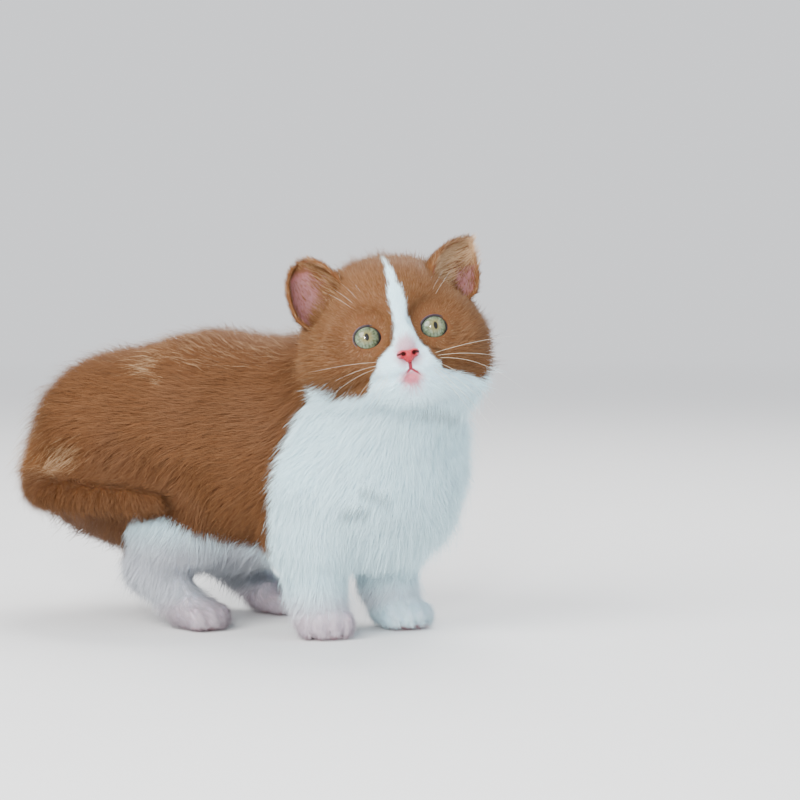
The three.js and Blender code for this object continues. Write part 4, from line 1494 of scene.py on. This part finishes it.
def tapered_hairs(starts, ways, bends, radii, steps=10, sides=5):
    """Long single hairs as tapered tubes that start one way and bend towards another."""
    points, quads, triangles, tips = [], [], [], []
    for start, way, bend, radius in zip(starts, ways, bends, radii):
        side = unit(np.cross(way, [0.3, 0.2, 1]))
        other = unit(np.cross(way, side))
        first = len(points)
        for step in range(steps):
            along = step / steps
            middle = start + way * along + bend * along**2
            thick = radius * (1 - along) ** 0.6
            for corner in range(sides):
                turn = 2 * math.pi * corner / sides
                points.append(middle + (side * math.cos(turn) + other * math.sin(turn)) * thick)
                tips.append(along)
        points.append(start + way + bend)
        tips.append(1)
        for corner in range(sides):
            after = (corner + 1) % sides
            for step in range(steps - 1):
                a, b = first + step * sides + corner, first + step * sides + after
                quads.append((a, b, b + sides, a + sides))
            last = first + (steps - 1) * sides
            triangles.append((last + corner, last + after, first + steps * sides))
    return np.array(points), quads, triangles, np.array(tips)


# How thick the whiskers are on each side, and the hairs over the eyes.
WHISKER_RADII = {"right": 0.04, "left": 0.06}
BROW_RADIUS = 0.038

# Each whisker: its root on the left pad, how far it reaches, and how much it droops.
WHISKERS = [
    ((29, 10, -17), (-21, 43, 4), 0.05),
    ((28.5, 11, -18.5), (-27, 40.5, -18.5), 0.3),
    ((27.5, 12, -20), (-15, 25, -25), 0.3),
    ((28.5, 10.5, -21), (-15, 25, -26), 0.2),
    ((29, 9, -22), (-8, 17, -29), 0.25),
    ((29.5, 8.5, -20.5), (-11, 22, -30), 0.2),
    ((28, 11.5, -17.5), (-18, 33, -4), 0.1),
]


class MakeWhiskers(bpy.types.Operator):
    """Makes the whiskers on both sides of the muzzle and over the eyes"""

    bl_idname = "kitten.make_whiskers"
    bl_label = "Make Whiskers"

    def execute(self, context):
        random = np.random.default_rng(7)
        finish = hair_finish()
        share = context.scene.kitten_coat.whisker
        for name, sign in SIDES.items():
            starts, ways, bends, radii = [], [], [], []
            for start, reach, droop in WHISKERS:
                starts.append(np.array(start) * [1, sign, 1])
                reach = np.array(reach, float) * [1, sign, 1] * share
                reach *= random.uniform(0.55, 0.75) if sign < 0 else 1
                bends.append(np.array([0.8 * reach[0], 0, -droop * np.linalg.norm(reach)]))
                ways.append(reach - bends[-1])
                radii.append(WHISKER_RADII[name])
            for number in range(4):
                starts.append(eye_centre(sign) + np.array([6, sign * (1.5 * number - 4), 9]))
                bends.append(np.array([-7, sign * 3, -1.0]))
                ways.append(np.array([3, sign * (2 + 3.5 * number), 18.0]) * random.uniform(0.75, 1.1))
                radii.append(BROW_RADIUS)
            starts = on_surface(bare_skin, from_head(np.array(starts)), 3)
            ways, bends = np.array(ways) @ HEAD_TURN.T, np.array(bends) @ HEAD_TURN.T
            points, quads, triangles, tips = tapered_hairs(starts, ways, bends, radii)
            mesh = mesh_of("whiskers_" + name, points, quads, triangles)
            set_values(mesh, "tip", tips)
            show("whiskers_" + name, mesh, finish)
        return {"FINISHED"}


# The stage: a floor, lights and the camera.

FLOOR_SIZE = 12.0

# Each light: its place round the kitten from the camera's and its height over the kitten's middle,
# both in degrees, then its distance and its size in metres, and its colour.
LIGHTS = {
    "key": (-38, 36, 1.7, 1.2, (1.0, 0.985, 0.96)),
    "catch": (-3, 16, 1.3, 0.15, (1.0, 1.0, 1.0)),
    "fill": (75, 25, 1.7, 1.0, (0.65, 0.82, 1.0)),
    "back": (165, 55, 1.5, 1.2, (1.0, 0.98, 0.95)),
}


class MakeStage(bpy.types.Operator):
    """Makes the floor, the soft lights and the camera"""

    bl_idname = "kitten.make_stage"
    bl_label = "Make Stage"

    def execute(self, context):
        stage = context.scene.kitten_stage
        self.make_floor(stage)
        self.make_world(stage)
        self.make_camera(context, stage)
        self.make_lights(stage)
        return {"FINISHED"}

    def make_floor(self, stage):
        corners = [(x * FLOOR_SIZE, y * FLOOR_SIZE, 0) for x, y in ((-1, -1), (1, -1), (1, 1), (-1, 1))]
        mesh = bpy.data.meshes.new("floor")
        mesh.from_pydata(corners, [], [(0, 1, 2, 3)])
        floor = bpy.data.objects.new("floor", mesh)
        bpy.context.scene.collection.objects.link(floor)
        nodes = Nodes("floor", 0.6, Specular_IOR_Level=0.2)
        darker = tuple(value * 0.97 for value in stage.floor)
        mesh.materials.append(nodes.finish(nodes.mix(nodes.noise(30, 4), stage.floor, darker)))
        distance = nodes.add("VectorMath", {0: nodes.place()}, operation="LENGTH").outputs["Value"]
        glow = nodes.add("Emission", {"Color": stage.room, "Strength": stage.room_light})
        parts = {0: nodes.ramp(distance, 0.5, 3.0), 1: nodes.shader.outputs[0], 2: glow.outputs[0]}
        melted = nodes.add("MixShader", parts).outputs[0]
        nodes.put(nodes.tree.nodes["Material Output"].inputs["Surface"], melted)

    def make_world(self, stage):
        world = bpy.data.worlds.new("room")
        world.use_nodes = True
        background = world.node_tree.nodes["Background"]
        background.inputs["Color"].default_value = (*stage.room, 1)
        background.inputs["Strength"].default_value = stage.room_light
        bpy.context.scene.world = world

    def make_camera(self, context, stage):
        data = bpy.data.cameras.new("camera")
        data.sensor_width = 36
        data.lens = stage.lens
        data.clip_end = 100
        camera = bpy.data.objects.new("camera", data)
        context.scene.collection.objects.link(camera)
        camera.location = in_frame(stage.camera)
        camera.rotation_euler = (math.pi / 2 - stage.pitch, 0, stage.azimuth)
        context.scene.camera = camera

    def make_lights(self, stage):
        target = Vector(in_frame((20, 0, 80)))
        for name, (turn, lift, distance, size, color) in LIGHTS.items():
            azimuth, height = stage.azimuth + math.radians(turn), math.radians(lift)
            data = bpy.data.lights.new(name, "AREA")
            data.shape = "DISK"
            data.size = size
            data.energy = getattr(stage, name)
            data.color = color
            light = bpy.data.objects.new(name, data)
            bpy.context.scene.collection.objects.link(light)
            flat = math.cos(height) * distance
            way = Vector((math.sin(azimuth) * flat, -math.cos(azimuth) * flat, math.sin(height) * distance))
            light.location = target + way
            light.rotation_euler = (-way).to_track_quat("-Z", "Y").to_euler()


# Settings.


def colour_setting(name, description, red, green, blue):
    return bpy.props.FloatVectorProperty(
        name=name, description=description, subtype="COLOR", default=linear(red, green, blue), min=0, max=1
    )


def setting(name, description, default, **limits):
    return bpy.props.FloatProperty(name=name, description=description, default=default, **limits)


class KittenColours(bpy.types.PropertyGroup):
    """The colours of the coat, the skin and the eyes"""

    brown_root: colour_setting("Brown Root", "Cinnamon hair near the skin", 96, 58, 27)
    brown_tip: colour_setting("Brown Tip", "Cinnamon hair at its tip", 97, 60, 29)
    cream: colour_setting("Cream", "The palest tips of the cinnamon hair", 206, 176, 138)
    # The whites are tinted blue: painted cool light on the white hair.
    cool_lit_white_root: colour_setting("White Root", "White hair near the skin", 202, 232, 244)
    cool_lit_white_tip: colour_setting("White Tip", "White hair at its tip", 220, 250, 255)
    pink: colour_setting("Pink", "Skin of the lips, the ears and the soles", 176, 96, 104)
    pale_pink: colour_setting("Pale Pink", "Thinly haired skin", 186, 104, 118)
    ear: colour_setting("Ear", "Skin inside the ears", 132, 84, 84)
    ear_light: colour_setting("Light Ear", "Paler skin inside the ears", 140, 98, 100)
    mouth: colour_setting("Mouth", "The line of the mouth", 128, 38, 52)
    nose: colour_setting("Nose", "Nose leather", 150, 12, 28)
    nose_light: colour_setting("Light Nose", "Lighter patches of the nose leather", 168, 34, 48)
    lid_edge: colour_setting("Lid Edge", "The dark edge of the lids", 34, 24, 30)
    lid: colour_setting("Lid", "The lids' bare skin", 136, 96, 112)
    lid_low: colour_setting("Lower Lid", "The bare skin of the lower lids", 126, 84, 64)
    lid_crease: colour_setting("Lid Crease", "The fold over each eye", 96, 48, 34)
    iris: colour_setting("Iris", "The iris between its threads", 62, 75, 56)
    iris_light: colour_setting("Iris Threads", "The threads of the iris", 116, 130, 104)
    iris_inner: colour_setting("Inner Iris", "The iris round the pupil", 118, 104, 52)
    iris_rim: colour_setting("Iris Rim", "The dark rim of the iris", 26, 26, 36)


class KittenCoat(bpy.types.PropertyGroup):
    """The sizes of the coat"""

    density: setting("Density", "Share of the full number of tufts", 1.0, min=0.05, max=1.5)
    length: setting("Length", "Length of the tufts, as a share of each region's own", 1.0, min=0.2, max=2)
    width: setting("Width", "Width of the tufts, as a share of each region's own", 1.0, min=0.3, max=3)
    guard: setting("Guard Hair", "Share of the tufts that stand out longer and paler", 0.07, min=0, max=1)
    whisker: setting("Whisker", "Length of the whiskers, as a share of the full one", 1.0, min=0.2, max=1.5)
    seed: bpy.props.IntProperty(name="Seed", description="Seed of the coat's random draws", default=3, min=0)


class KittenEyes(bpy.types.PropertyGroup):
    """The sizes of the eyes"""

    iris: setting("Iris", "Radius of the iris", 0.00575, unit="LENGTH", min=0.003, max=0.008)
    cornea: setting("Cornea", "How far the cornea bulges", 0.0008, unit="LENGTH", min=0, max=0.002)
    gaze_down: setting("Gaze Down", "Degrees that the eyes look down", 1.0)
    gaze_left: setting("Gaze Left", "Degrees that the eyes look left", 2.65)
    gaze_out: setting("Gaze Out", "Degrees that each eye looks outward from the middle of its lids", -0.25)


class KittenStage(bpy.types.PropertyGroup):
    """The camera, the floor and the lights"""

    azimuth: setting("Azimuth", "The way the camera looks", math.radians(34), subtype="ANGLE")
    pitch: setting("Pitch", "How far the camera looks down", math.radians(3.105), subtype="ANGLE")
    lens: setting("Lens", "Focal length", 117.86, min=10)
    camera: bpy.props.FloatVectorProperty(
        name="Camera", description="The camera's place in the kitten's axes", default=(703.4, -912.2, 160)
    )
    floor: colour_setting("Floor", "The floor", 222, 222, 222)
    room: colour_setting("Room", "The room's light", 240, 242, 246)
    room_light: setting("Room Light", "Strength of the room's light", 1.25)
    key: setting("Key Light", "Power of the key light", 50, min=0)
    catch: setting("Catch Light", "Power of the eyes' catch light", 13, min=0)
    fill: setting("Fill Light", "Power of the fill light", 9, min=0)
    back: setting("Back Light", "Power of the back light", 26, min=0)


class KittenPanel(bpy.types.Panel):
    """Lists the kitten's settings and steps"""

    bl_idname = "VIEW3D_PT_kitten"
    bl_label = "Kitten"
    bl_space_type = "VIEW_3D"
    bl_region_type = "UI"
    bl_category = "Kitten"

    def draw(self, context):
        for group_name in SETTINGS:
            box = self.layout.box()
            group = getattr(context.scene, group_name)
            for name in group.bl_rna.properties.keys():
                if name not in ("rna_type", "name"):
                    box.prop(group, name)
        for step in STEPS:
            self.layout.operator(step.bl_idname)


SETTINGS = {
    "kitten_colours": KittenColours,
    "kitten_coat": KittenCoat,
    "kitten_eyes": KittenEyes,
    "kitten_stage": KittenStage,
}
STEPS = (MakeSkin, MakeCoat, MakeEyes, MakeLids, MakeNose, MakeWhiskers, MakeStage)


def register():
    for step in (*SETTINGS.values(), *STEPS, KittenPanel):
        bpy.utils.register_class(step)
    for name, group in SETTINGS.items():
        setattr(bpy.types.Scene, name, bpy.props.PointerProperty(type=group))


def unregister():
    for name in SETTINGS:
        delattr(bpy.types.Scene, name)
    for step in reversed((*SETTINGS.values(), *STEPS, KittenPanel)):
        bpy.utils.unregister_class(step)


def main():
    register()
    for step in STEPS:
        group, name = step.bl_idname.split(".")
        getattr(getattr(bpy.ops, group), name)()


if __name__ == "__main__":
    main()
